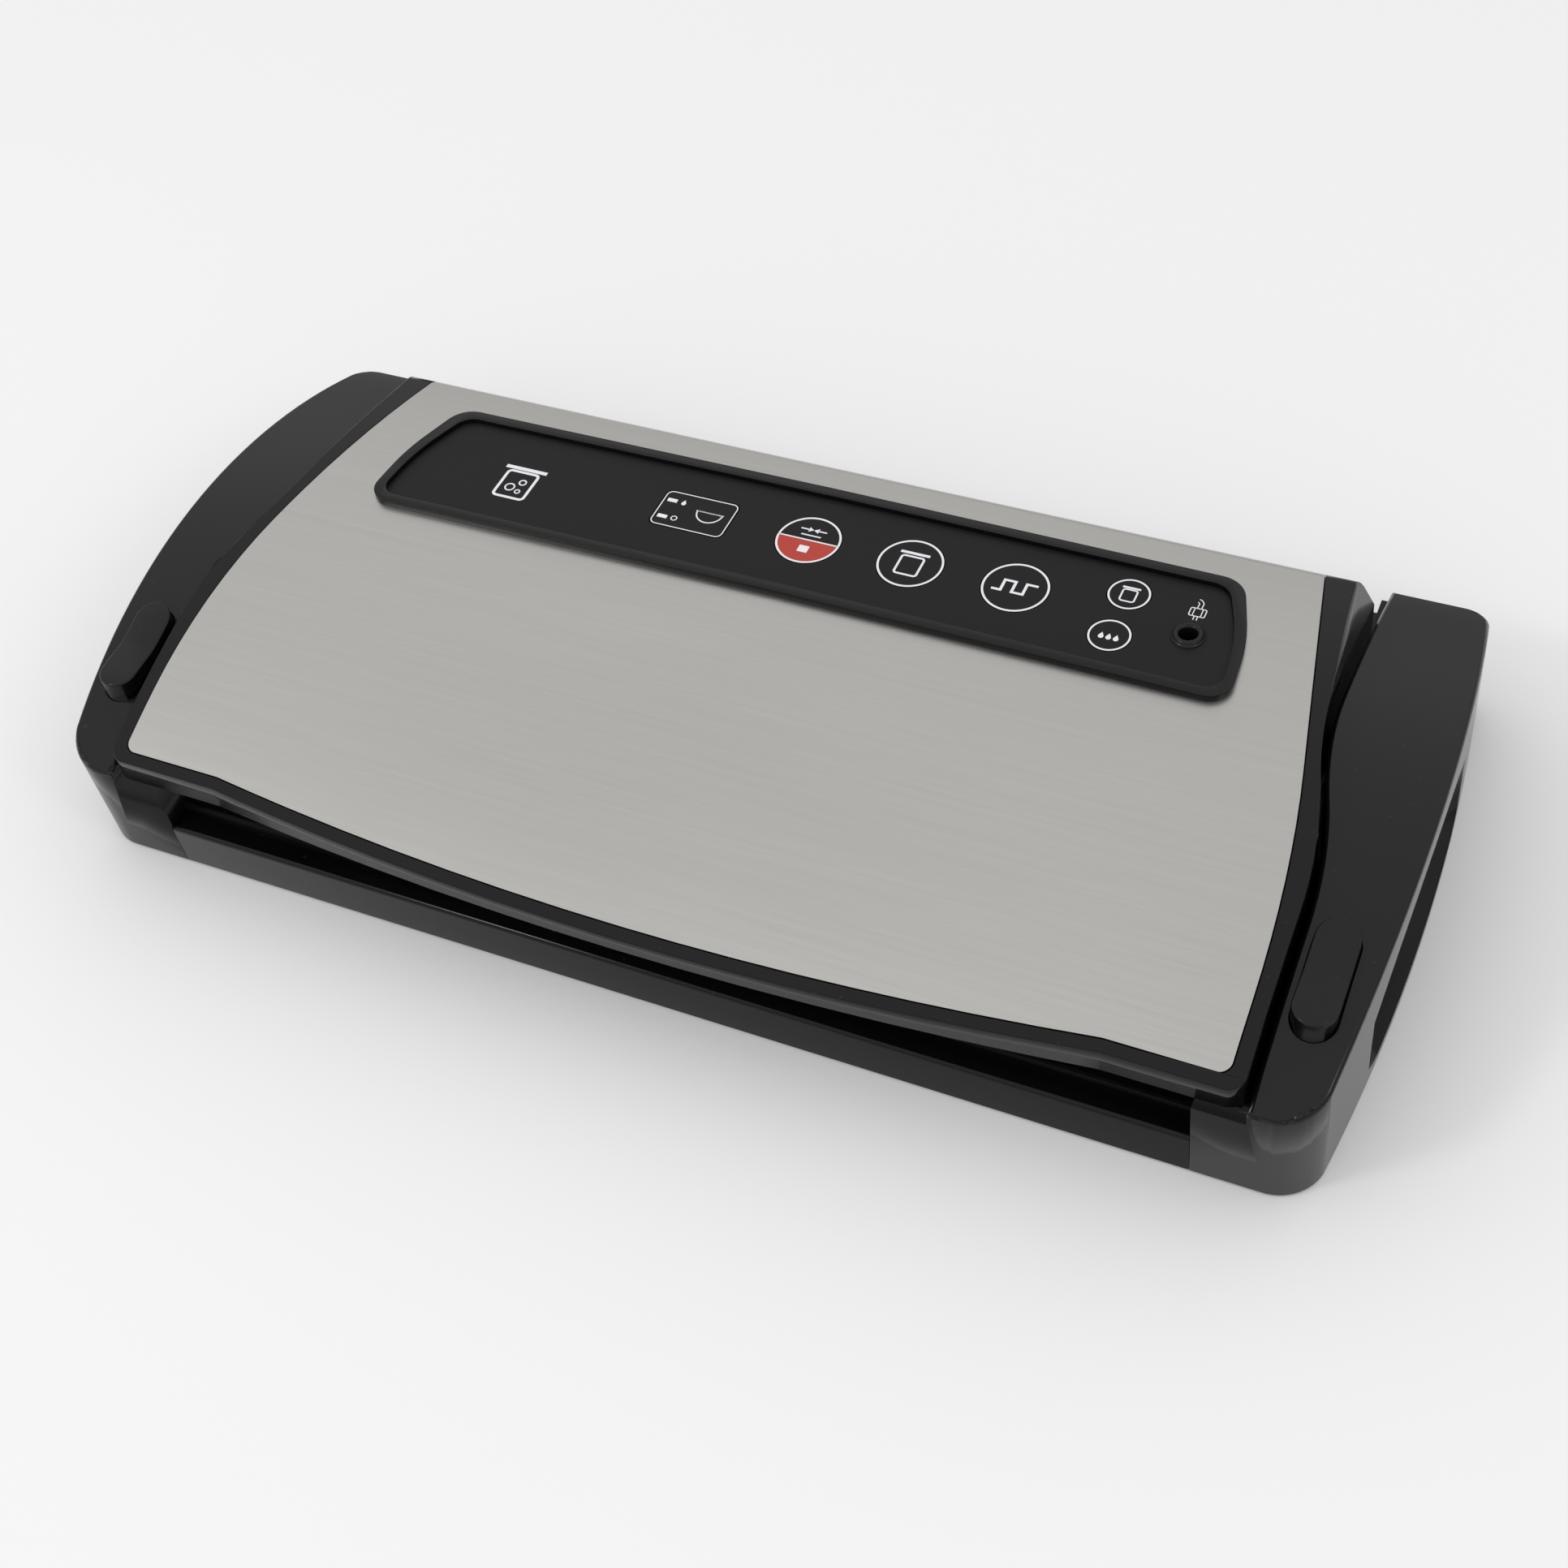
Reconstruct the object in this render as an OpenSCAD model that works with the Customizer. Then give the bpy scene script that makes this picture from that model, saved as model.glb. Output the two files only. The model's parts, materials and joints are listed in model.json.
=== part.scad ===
// Household vacuum sealer: a low base with two end pods, and a lid hinged at the rear.
// +X is the user's right, +Y the rear, +Z up. The origin is the middle of the footprint, at the feet.

/* [Overall] */
// largest width, across the bulging sides of the two pods
body_w = 401; // [380:1:430]
// depth of the base, front face to rear face
base_d = 184.8; // [178:0.2:205]
// half the distance between the two front seams, which is half the bag opening
seam_half = 162; // [150:1:166]
// how far each pod side falls in from its widest point to its ends
side_sag = 6.8; // [3:0.1:9]
// general wall of the black mouldings
wall = 2.4; // [1.8:0.1:3]
// radius of the vertical front corners of the pods
front_corner_r = 14; // [8:1:18]
// radius of the vertical rear corners of the pods
rear_corner_r = 9; // [6:1:16]

/* [Pods] */
// height of the pod crown above the underside of the base
pod_crown_h = 55.3; // [50:0.1:60]
// height of the pod top at the front and rear faces
pod_end_h = 36.9; // [35:0.1:42]
// height of the ledge the lid closes over
ledge_h = 32; // [30:0.5:33]
// distance from the middle to the pod's inner face at the front
pod_in_front = 176.5; // [174:0.5:180]
// distance from the middle to the pod's inner face at the rear
pod_in_rear = 164.7; // [164:0.1:168]
// where the inner face starts to step in
step_start_y = 50; // [40:1:60]
// where the inner face has finished stepping in
step_end_y = 128; // [110:1:140]

/* [Hand grips] */
// front end of the grip opening
grip_front_y = 37; // [30:1:45]
// rear end of the grip opening
grip_rear_y = 139; // [125:1:150]
// height of the lip under the grip
grip_lip = 3; // [2:0.5:8]
// height of the grip's arched top at its middle
grip_top = 46; // [40:0.5:47]
// depth of the scoop at its middle
grip_depth = 12; // [8:0.5:13]

/* [Release buttons] */
// distance from the middle to a release button's centre line
button_x = 185.6; // [184:0.2:187]
// width of a release button
button_w = 12.2; // [10:0.2:13]
// front end of a release button
button_front_y = 21.2; // [20:0.2:23]
// rear end of a release button
button_rear_y = 53.3; // [50:0.1:55]
// height of the button's flat front half
button_front_h = 52; // [50:0.2:54]
// height of the button's rear end
button_rear_h = 55.8; // [54:0.2:58]
// how far a release button goes down
button_travel = 2.5; // [1.5:0.1:3]
// gap around a release button
button_gap = 0.4; // [0.3:0.05:0.8]
// how far the catch slides out for each millimetre of button travel
catch_ratio = 1.2; // [1:0.05:1.3]

/* [Lid] */
// height of the lid's crown above the underside of the base
lid_crown_h = 63.3; // [60:0.1:68]
// distance of the crown from the base's front face
lid_crown_y = 109.6; // [100:0.2:118]
// height of the lid surface at the front edge of the steel
lid_front_h = 45.8; // [44:0.1:50]
// distance from the base's front face to the lid's rear wall
lid_rear_y = 168.3; // [164:0.1:170]
// radius of the roll from the lid top into its rear wall
lid_roll_r = 6; // [4:0.5:8]
// how far the lid's nose bulges forward between its two kinks
nose_sag = 7.7; // [4:0.1:10]
// half the distance between the two kinks
nose_half = 137; // [120:1:145]
// gap between the lid's side and the pod
lid_gap = 1.6; // [1.2:0.1:2]
// height of the lid's lower edge over the ledges
lid_edge_h = 33.6; // [33.4:0.1:35]
// width of the black band around the steel
band_w = 3.6; // [3:0.1:5]

/* [Steel cover] */
// thickness of the steel sheet
steel_t = 0.7; // [0.4:0.1:1]
// distance from the base's front face to the steel's front edge at the corners
steel_front_y = 4.5; // [4:0.1:6]
// half the width of the steel at the front
steel_front_half = 170.4; // [168:0.1:171]
// how fast the steel's sides draw in toward the rear, millimetre for millimetre
steel_taper = 0.2; // [0.15:0.01:0.22]

/* [Control panel] */
// distance of the panel's centre from the base's front face
panel_y = 129; // [124:0.5:131]
// half the width of the panel rim at the rear
panel_rear_half = 129.3; // [124:0.5:131]
// half the width of the panel rim at the front
panel_front_half = 138.7; // [134:0.5:140]
// depth of the panel, front to rear
panel_d = 47; // [44:0.5:50]
// how far the rim stands above the steel
rim_h = 1.5; // [1:0.1:2.5]
// width of the rim
rim_w = 3.4; // [2.5:0.1:4]
// radius of the three large keys
big_key_r = 10; // [8:0.1:11]
// radius of the two small keys
small_key_r = 6.2; // [5:0.1:7]
// spacing of the large keys
key_pitch = 32.8; // [28:0.1:34]
// how far a key goes in
key_travel = 0.5; // [0.3:0.1:0.8]
// gap around a key
key_gap = 0.35; // [0.3:0.05:0.5]

/* [Hose port] */
// outer radius of the port's boss
port_r = 5; // [4:0.1:6]
// radius of the port's bore
port_bore_r = 2.5; // [2:0.1:3]

/* [Hinge] */
// distance of the hinge axis from the base's front face
hinge_y = 170; // [169.5:0.1:172]
// height of the hinge axis
hinge_z = 32; // [31.5:0.1:33]
// radius of the hinge pins
hinge_pin_r = 1.5; // [1.2:0.1:2]
// outer radius of the hinge knuckles
knuckle_r = 4.5; // [4:0.1:4.6]
// distance from the middle to each hinge's centre
hinge_x = 112; // [80:1:125]
// width of a lid knuckle
knuckle_w = 23; // [16:1:28]

/* [Sealing well] */
// front edge of the well
well_front_y = 8; // [7:0.5:9]
// rear edge of the well
well_rear_y = 88; // [86:1:92]
// height of the well's floor
well_h = 18.2; // [17.5:0.1:18.5]
// height of the front bar
bar_h = 16.2; // [15:0.1:16.2]
// half the length of the heating strip
heater_half = 152; // [130:1:154]
// distance of the heating strip from the front face
heater_y = 24; // [22:0.5:26]
// width of the vacuum trough, front to rear
trough_d = 23; // [18:0.5:26]
// half the length of the vacuum trough
trough_half = 148; // [130:1:149]
// distance of the trough's centre from the front face
trough_y = 55; // [53:0.5:57]
// width of the gasket rings
gasket_w = 5.2; // [4:0.1:6]

/* [Pump and power] */
// radius of the pump motor's can
motor_r = 11; // [9:0.5:12]
// length of the pump motor's can
motor_l = 32; // [26:1:36]
// radius of the motor's shaft
shaft_r = 1; // [0.8:0.1:1.5]

/* [Hidden] */
$fn = 96;
eps = 0.02;
foot_h = 1.2;                                    // feet stand this far below the base
foot_r = 7;
plate_t = 2;                                     // bottom plate
seat = 0.3;                                      // clearance between fixed mouldings
run = 0.05;                                      // radial clearance of a turning shaft
half_d = base_d / 2;
side_r = (half_d * half_d + side_sag * side_sag) / (2 * side_sag);
side_cx = body_w / 2 - side_r;                   // centre of the right side's arc
pod_sag = pod_crown_h - pod_end_h;
pod_r = (half_d * half_d + pod_sag * pod_sag) / (2 * pod_sag);
pod_cz = pod_crown_h - pod_r;
lid_run = lid_crown_y - steel_front_y;
lid_sag = lid_crown_h - lid_front_h;
lid_r = (lid_run * lid_run + lid_sag * lid_sag) / (2 * lid_sag);
lid_cz = lid_crown_h - lid_r;
nose_r = (nose_half * nose_half + nose_sag * nose_sag) / (2 * nose_sag);
nose_cy = steel_front_y - nose_sag + nose_r;
lid_front_y = steel_front_y - band_w;            // front of the lid at its corners
overhang = nose_sag - lid_front_y;               // lid nose ahead of the base
mid_y = (base_d - overhang) / 2;                 // shifts the base's front face to the middle
steel_corner_r = 3.5;
steel_bend_r = 340;
steel_bend_y = 24;                               // where the steel's sides start to draw in
steel_bend_end = steel_bend_y + steel_bend_r * sin(atan(steel_taper));
skirt_y = 7;                                     // front skirt of the lid, over the bag slot
skirt_h = 22;
steel_low = 42;                                  // lower edge of the steel behind the lid
skirt_half = seam_half - 4;
bar_d = 13;                                      // depth of the front bar
bar_round = 1.5;                                 // round along its top edge
deck_t = 2;                                      // wall of the deck moulding
lip_h = 36;                                      // underside of the nose
inner_h = 24.5;                                  // underside of the lid's sunken pan
pan_half = seam_half - 2;
pan_front_y = skirt_y + wall + seat;
pan_rear_y = well_rear_y - 2.5;
pan_t = 2.2;
close_low = 20.3;                                // top of the base's soft seals
close_high = 20.6;                               // underside of the lid's soft seals
rear_ledge_h = 26;                               // shelf the hinge brackets stand on
rear_shelf_y = 160;
panel_tilt = -asin((panel_y - lid_crown_y) / lid_r);
panel_z = lid_cz + sqrt(lid_r * lid_r - pow(panel_y - lid_crown_y, 2));
key_v = 2;                                       // the keys' row, measured rearward on the panel
key_x = [key_v, key_v + key_pitch, key_v + 2 * key_pitch];
small_key_x = key_x[2] + 31.8;
small_key_v = [9.5, -8];
food_key = [-36, key_v];
food_key_size = [24.4, 15.4];
port_pos = [120.3, -1.4];
overlay_t = 1.2;
board_w = -8;                                    // control board's top, below the panel's face
stem_low = -3.4;                                 // lower end of a key's stem
grip_mid_y = (grip_front_y + grip_rear_y) / 2;
grip_arch_r = 75;
grip_corner_r = 14;
grip_half = (grip_rear_y - grip_front_y) / 2;
grip_r = (grip_half * grip_half + grip_depth * grip_depth) / (2 * grip_depth);
hook_y = 33;                                     // middle of the lid hooks
hook_w = 8;
hook_x = 168;                                    // inner face of a hook's shank
hook_t = 3;
barb = 2.4;
barb_low = 27;
barb_h = 1.6;
nose_top = 26.5;                                 // top of the catch's nose
nose_t = 1.6;
catch_x = hook_x + hook_t + 0.6;                 // tip of the catch's nose
catch_end = 190;
catch_w = 9;
ramp_low = [181.6, nose_top + 4.6];
ramp_gap = seat * norm([1, catch_ratio]);        // level gap between the button's ramp and the catch's
tab_half = 4;                                    // half the width of the tabs that keep a button in
tab_reach = 1.8;                                 // how far they reach past the button
front_tab_gap = 0.07;                            // below the pod's roof
rear_tab_gap = 1.57;
button_under = 41;                               // the underside the spring pushes on
spring_y = 47.5;
spring_low = 29.6;
spring_r = 2.8;
spring_wire = 0.4;
spring_turns = 5;
trough_floor = 8;
pump_x = 8;
pump_y = 122;
deck_under = ledge_h - deck_t;                   // underside of the raised rear deck
motor_free = deck_under - plate_t - 2 * motor_r;
pump_z = plate_t + motor_r + motor_free / 3;
pump_head_half = 11;                             // half the height of the pump head
outlet_x = pump_x - 4;                           // the suction tube runs straight back from here
pump_inlet_z = pump_z + 3;
nipple_r = 2.2;
inlet_x = -120;
inlet_z = 13;
switch_x = 139;                                  // middle of the lid switch's body
switch_pin = [140, 96];                          // middle of its pin
switch_pin_half = [1.7, 3];
guide_in = 176;                                  // inner and outer faces of a latch guide
guide_out = 188;
guide_rail = 2.5;                                // rail on each side of a sliding catch
flank_x = 172;                                   // top of the lid's sloping flanks at the rear
flank_turn = 10;                                 // they draw in toward the rear at this angle
flank_run = 13.4;
flank_low = 34.5;
inner_t = 2;                                     // flange of the lid's inner moulding
board_t = 1.6;
board_post_v = -12;                              // row of the control board's posts
screw_r = 1.5;
screw_head_h = 1.9;
screw_hole_r = screw_r + 0.15;
screw_seat_r = 3.1;
plate_screw_low = 0.6;                           // undersides of the screw heads
pod_screw_low = -0.9;
plate_screws = [[-150, 24], [0, 24], [150, 24], [-150, 96], [150, 96], [-150, 170], [0, 170], [150, 170]];
pod_screws = [[186, 12], [186, 166]];
lid_screws = [[-150, 94], [0, 94], [150, 94], [-140, 158], [0, 158], [140, 158], [-166, 14], [166, 14]];

// ---------- helpers ----------

module placed() {
    translate([0, -mid_y, foot_h])
        children();
}

// a section drawn in (y, z), run along x
module along_x(from, to) {
    translate([from, 0, 0])
        rotate([90, 0, 90])
            linear_extrude(to - from)
                children();
}

// a plan drawn in (x, y), run up from one height to another
module upright(from, to) {
    translate([0, 0, from])
        linear_extrude(to - from)
            children();
}

module block(low, high) {
    translate(low)
        cube(high - low);
}

module round_rect(low, high, r) {
    translate([low.x + r, low.y])
        square([high.x - low.x - 2 * r, high.y - low.y]);
    translate([low.x, low.y + r])
        square([high.x - low.x, high.y - low.y - 2 * r]);
    for (x = [low.x + r, high.x - r], y = [low.y + r, high.y - r])
        translate([x, y])
            circle(r);
}

// what a rounded corner takes off: c is the round's centre, d1 and d2 point at the two sides it meets.
// The round is set out by a hair so that it crosses both sides instead of only touching them.
module corner_waste(c, r, d1, d2) {
    hair = 0.05;
    p = c + hair * (d1 + d2);
    difference() {
        polygon([p, p + d1 * (r + 1), p + 2 * r * (d1 + d2), p + d2 * (r + 1)]);
        translate(p)
            circle(r);
    }
}

function unit(v) = v / norm(v);

// points of an outline whose corners [x, y, radius] are rounded
function corner_points(a, b, c, n) =
    let (r = b[2],
        p = [b.x, b.y],
        u = unit([a.x, a.y] - p),
        v = unit([c.x, c.y] - p),
        turn = acos(u * v),
        s = p + u * r / tan(turn / 2),
        e = p + v * r / tan(turn / 2),
        m = p + unit(u + v) * r / sin(turn / 2),
        a0 = atan2(s.y - m.y, s.x - m.x),
        a1 = atan2(e.y - m.y, e.x - m.x),
        d = ((a1 - a0 + 540) % 360) - 180)
    [for (i = [0 : n]) m + r * [cos(a0 + d * i / n), sin(a0 + d * i / n)]];

function rounded_outline(corners, n = 8) =
    let (k = len(corners))
    [for (i = [0 : k - 1])
        each (corners[i][2] == 0 ? [[corners[i].x, corners[i].y]]
            : corner_points(corners[(i + k - 1) % k], corners[i], corners[(i + 1) % k], n))];

function arc_drop(r, s) = r - sqrt(r * r - s * s);

// ---------- base outline ----------

// plan of the base, drawn in by an inset
module base_plan(inset) {
    difference() {
        intersection() {
            translate([side_cx, half_d])
                circle(side_r - inset, $fn = 360);
            translate([-side_cx, half_d])
                circle(side_r - inset, $fn = 360);
            translate([-body_w, inset])
                square([2 * body_w, base_d - 2 * inset]);
        }
        for (side = [-1, 1])
            scale([side, 1])
                plan_corners(inset);
    }
}

// what the two rounded corners of the right pod take off the plan
module plan_corners(inset) {
    plan_corner(inset, front_corner_r, front_corner_r, -1);
    plan_corner(inset, rear_corner_r, base_d - rear_corner_r, 1);
}

module plan_corner(inset, corner_r, cy, away) {
    cx = side_cx + sqrt(pow(side_r - corner_r, 2) - pow(half_d - cy, 2));
    corner_waste([cx, cy], max(corner_r - inset, 0.5), [0, away], unit([cx, cy] - [side_cx, half_d]));
}

// side view of the pods, drawn in by an inset
module pod_section(inset, low) {
    intersection() {
        translate([half_d, pod_cz])
            circle(pod_r - inset, $fn = 360);
        translate([inset, low])
            square([base_d - 2 * inset, 100]);
    }
}

step_mid_y = (step_start_y + step_end_y) / 2;
step_in = pod_in_front - pod_in_rear;
step_half = (step_end_y - step_start_y) / 2;
step_r = (step_half * step_half + step_in * step_in / 4) / step_in;

// the pod's inner face above the ledge
function pod_in(y) =
    y <= step_start_y ? pod_in_front
    : y <= step_mid_y ? pod_in_front - arc_drop(step_r, y - step_start_y)
    : y < step_end_y ? pod_in_rear + arc_drop(step_r, step_end_y - y)
    : pod_in_rear;

step_count = 16;
step_ys = [for (i = [0 : step_count]) step_start_y + (step_end_y - step_start_y) * i / step_count];

// everything on the lid's side of the pods' inner faces, moved out by some distance
module between_pods(out, from_y = -40, to_y = 260) {
    right = concat([[pod_in(from_y) + out, from_y]], [for (y = step_ys) [pod_in(y) + out, y]],
        [[pod_in(to_y) + out, to_y]]);
    left = [for (i = [len(right) - 1 : -1 : 0]) [-right[i].x, right[i].y]];
    polygon(concat(right, left));
}

// ---------- pods ----------

module grip_outline(grow = 0) {
    low = grip_lip - grow;
    intersection() {
        translate([grip_mid_y, grip_top - grip_arch_r])
            circle(grip_arch_r + grow, $fn = 240);
        round_rect([grip_front_y - grow, low], [grip_rear_y + grow, low + 90], grip_corner_r + grow);
    }
}

// the scoop the fingers go into, grown outward by a wall for the moulding behind it
module grip_scoop(grow = 0) {
    intersection() {
        along_x(150, body_w)
            grip_outline(grow);
        translate([body_w / 2 - grip_depth + grip_r, grip_mid_y, -20])
            cylinder(r = grip_r + grow, h = 100, $fn = 240);
    }
}

module stadium(half_width, front, rear) {
    translate([button_x, front + half_width])
        circle(half_width);
    translate([button_x, rear - half_width])
        circle(half_width);
    translate([button_x - half_width, front + half_width])
        square([2 * half_width, rear - front - 2 * half_width]);
}

// height of the underside of the pod's roof
function pod_roof(y) = pod_cz + sqrt(pow(pod_r - wall, 2) - pow(y - half_d, 2));

module pod_envelope(inset) {
    low = inset > 0 ? -5 : 0;
    difference() {
        intersection() {
            along_x(seam_half + inset, body_w)
                pod_section(inset, low);
            translate([side_cx, half_d, low - 1])
                cylinder(r = side_r - inset, h = 100, $fn = 360);
        }
        upright(low - 1, 100)
            plan_corners(inset);
        upright(ledge_h - inset, 100)
            between_pods(inset);
    }
}

module pod() {
    difference() {
        pod_envelope(0);
        difference() {
            pod_envelope(wall);
            grip_scoop(wall);
            for (p = pod_screws)
                translate([p.x, p.y, plate_t])
                    cylinder(r = 4, h = 60);
        }
        grip_scoop();
        upright(ledge_h + 4, 90)
            stadium(button_w / 2 + button_gap, button_front_y - button_gap, button_rear_y + button_gap);
        block([hook_x - 1.6, hook_y - hook_w / 2 - 1.4, ledge_h - wall - 1],
            [hook_x + hook_t + barb + 1.4, hook_y + hook_w / 2 + 1.4, ledge_h + 1]);
        block([seam_half - 1, wall + eps, -1], [seam_half + wall + 1, base_d - wall - eps, plate_t]);
        for (p = pod_screws)
            translate([p.x, p.y, -1])
                cylinder(r = 4 + seat, h = 1 + plate_t);
        for (p = pod_screws)
            translate([p.x, p.y, 0])
                cylinder(r = screw_r, h = 14);
    }
}

module right_pod() {
    color([0.06, 0.06, 0.065])
        placed()
            pod();
}

module left_pod() {
    color([0.06, 0.06, 0.065])
        placed()
            mirror([1, 0, 0])
                pod();
}

// ---------- base mouldings ----------

module screw_cup(p) {
    translate([p.x, p.y, 0])
        cylinder(r = 4.6, h = 6);
}

module screw_path(p) {
    translate([p.x, p.y, -1]) {
        cylinder(r = screw_seat_r, h = 1 + plate_screw_low + screw_head_h + 0.1);
        cylinder(r = screw_hole_r, h = 10);
    }
}

module bottom_plate() {
    vent_xs = [for (i = [0 : 8]) -32 + i * 8];
    color([0.08, 0.08, 0.085])
        placed()
            difference() {
                union() {
                    upright(0, plate_t)
                        base_plan(wall + seat);
                    for (p = plate_screws)
                        screw_cup(p);
                }
                for (p = plate_screws)
                    screw_path(p);
                for (side = [-1, 1], p = pod_screws)
                    translate([side * p.x, p.y, -1]) {
                        cylinder(r = screw_hole_r, h = 10);
                        cylinder(r = screw_seat_r, h = 1 + pod_screw_low + screw_head_h);
                    }
                // room for the lips under the hand grips
                for (side = [0, 1])
                    mirror([side, 0, 0])
                        grip_scoop(wall + seat);
                for (x = vent_xs)
                    upright(-1, plate_t + 1)
                        round_rect([x - 1.5, 108], [x + 1.5, 136], 1.4);
                for (p = foot_points())
                    translate([p.x, p.y, -1])
                        cylinder(r = 3, h = 5);
            }
}

function foot_points() = [for (x = [-169, 169], y = [30, base_d - 30]) [x, y]];

module feet() {
    color([0.13, 0.13, 0.13])
        placed()
            for (p = foot_points())
                translate([p.x, p.y, 0]) {
                    translate([0, 0, -foot_h])
                        cylinder(r = foot_r, h = foot_h);
                    cylinder(r = 3, h = plate_t);
                    translate([0, 0, plate_t])
                        cylinder(r = 4, h = 1);
                }
}

module plate_screws() {
    color([0.6, 0.6, 0.6])
        placed() {
            for (p = plate_screws)
                screw_up(p, plate_screw_low, 13);
            for (side = [-1, 1], p = pod_screws)
                screw_up([side * p.x, p.y], pod_screw_low, 12);
        }
}

module screw_up(p, low, long) {
    translate([p.x, p.y, low])
        difference() {
            union() {
                cylinder(r = 2.75, h = screw_head_h);
                cylinder(r = screw_r, h = long);
            }
            for (a = [0, 90])
                rotate([0, 0, a])
                    block([-1.7, -0.35, -1], [1.7, 0.35, 0.9]);
        }
}

module front_bar() {
    color([0.06, 0.06, 0.065])
        placed()
            along_x(-seam_half + 0.15, seam_half - 0.15)
                union() {
                    square([wall, bar_h - bar_round]);
                    translate([bar_round, bar_h - wall])
                        square([bar_d - bar_round, wall]);
                    translate([bar_round, bar_h - bar_round])
                        circle(bar_round);
                }
}

// side view of the base between the pods: the sunken well, the raised rear and the hinge shelf
module deck_section(inset) {
    low = inset > 0 ? -5 : 0;
    difference() {
        translate([well_front_y + inset, low])
            square([base_d - well_front_y - 2 * inset, ledge_h - inset - low]);
        translate([-10, well_h - inset])
            square([well_rear_y + 10 + inset, 60]);
        translate([rear_shelf_y - inset, rear_ledge_h - inset])
            square([60, 60]);
        if (inset == 0)
            translate([-10, -10])
                square([well_front_y + 10 + 5, bar_h + 10]);
    }
}

module hinge_ears() {
    for (side = [-1, 1], end = [-1, 1])
        translate([side * hinge_x + end * (knuckle_w / 2 + seat + 2), 0, 0])
            along_x(-2, 2) {
                translate([hinge_y, hinge_z])
                    circle(knuckle_r);
                translate([hinge_y - knuckle_r, rear_ledge_h - 1])
                    square([2 * knuckle_r, hinge_z - rear_ledge_h + 1]);
            }
}

module deck() {
    half = seam_half - seat;
    color([0.07, 0.07, 0.075])
        placed()
            difference() {
                union() {
                    difference() {
                        along_x(-half, half)
                            deck_section(0);
                        difference() {
                            along_x(-half + deck_t, half - deck_t)
                                deck_section(deck_t);
                            for (p = plate_screws)
                                translate([p.x, p.y, 6])
                                    cylinder(r = 4, h = 60);
                        }
                        block([-200, -1, -1], [200, base_d - wall, plate_t]);
                        for (p = plate_screws)
                            translate([p.x, p.y, -1])
                                cylinder(r = 4.6 + seat, h = 7);
                    }
                    hinge_ears();
                }
                for (p = plate_screws)
                    translate([p.x, p.y, 0])
                        cylinder(r = screw_r, h = 14.2);
                along_x(-200, 200)
                    translate([hinge_y, hinge_z])
                        circle(hinge_pin_r);
                upright(well_h - 10, well_h + 5)
                    round_rect([-trough_half - 0.6, trough_y - trough_d / 2 - 0.6],
                        [trough_half + 0.6, trough_y + trough_d / 2 + 0.6], 4);
                block([inlet_x - 11, base_d - wall - 1, inlet_z - 7], [inlet_x + 11, base_d + 1, inlet_z + 7]);
                translate([switch_pin.x, switch_pin.y, ledge_h - 10])
                    block([-switch_pin_half.x - seat, -switch_pin_half.y - 1, 0],
                        [switch_pin_half.x + seat, switch_pin_half.y + 1, 11]);
            }
}

module hinge_pins() {
    color([0.75, 0.75, 0.76])
        placed()
            for (side = [-1, 1])
                translate([side * hinge_x, 0, 0])
                    along_x(-knuckle_w / 2 - seat - 4, knuckle_w / 2 + seat + 4)
                        translate([hinge_y, hinge_z])
                            circle(hinge_pin_r);
}

// ---------- sealing parts in the well ----------

module trough() {
    t = 1.5;
    low = [-trough_half, trough_y - trough_d / 2];
    high = [trough_half, trough_y + trough_d / 2];
    color([0.85, 0.85, 0.84])
        placed()
            difference() {
                union() {
                    upright(trough_floor, well_h)
                        round_rect(low, high, 4);
                    upright(well_h, well_h + 0.8)
                        round_rect(low - [2.6, 2.6], high + [2.6, 2.6], 6);
                }
                upright(trough_floor + t, 40)
                    round_rect(low + [t, t], high - [t, t], 2.5);
                translate([outlet_x, trough_y, 0])
                    cylinder(r = 2.2, h = 20);
            }
}

module gasket_ring(low_z, high_z) {
    edge = 3;
    low = [-trough_half - edge, trough_y - trough_d / 2 - edge];
    high = [trough_half + edge, trough_y + trough_d / 2 + edge];
    grow = [gasket_w, gasket_w];
    upright(low_z, high_z)
        difference() {
            round_rect(low - grow, high + grow, 6 + gasket_w);
            round_rect(low, high, 6);
        }
}

module lower_gasket() {
    color([0.2, 0.2, 0.21])
        placed()
            gasket_ring(well_h, close_low);
}

module upper_gasket() {
    color([0.2, 0.2, 0.21])
        placed()
            gasket_ring(close_high, inner_h);
}

module strip(half, width, low, high) {
    block([-half, heater_y - width / 2, low], [half, heater_y + width / 2, high]);
}

module heater_base() {
    color([0.35, 0.2, 0.12])
        placed()
            strip(heater_half + 2, 12, well_h, 19.7);
}

module heating_strip() {
    color([0.72, 0.7, 0.66])
        placed()
            strip(heater_half, 3, 19.7, 19.95);
}

module nonstick_tape() {
    color([0.5, 0.36, 0.22])
        placed()
            strip(heater_half + 1, 11, 19.95, 20.15);
}

// ---------- pump and power ----------

module pump_head() {
    color([0.16, 0.16, 0.17])
        placed()
            difference() {
                union() {
                    block([pump_x - 14, pump_y - 12, pump_z - pump_head_half],
                        [pump_x + 10, pump_y + 12, pump_z + pump_head_half]);
                    translate([outlet_x, pump_y - 11.9, pump_inlet_z])
                        rotate([90, 0, 0])
                            cylinder(r = nipple_r, h = 8);
                }
                along_x(pump_x - 6, pump_x + 20)
                    translate([pump_y, pump_z])
                        circle(6);
                translate([outlet_x, pump_y, pump_inlet_z])
                    rotate([90, 0, 0])
                        cylinder(r = 1.2, h = 30);
            }
}

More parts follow.
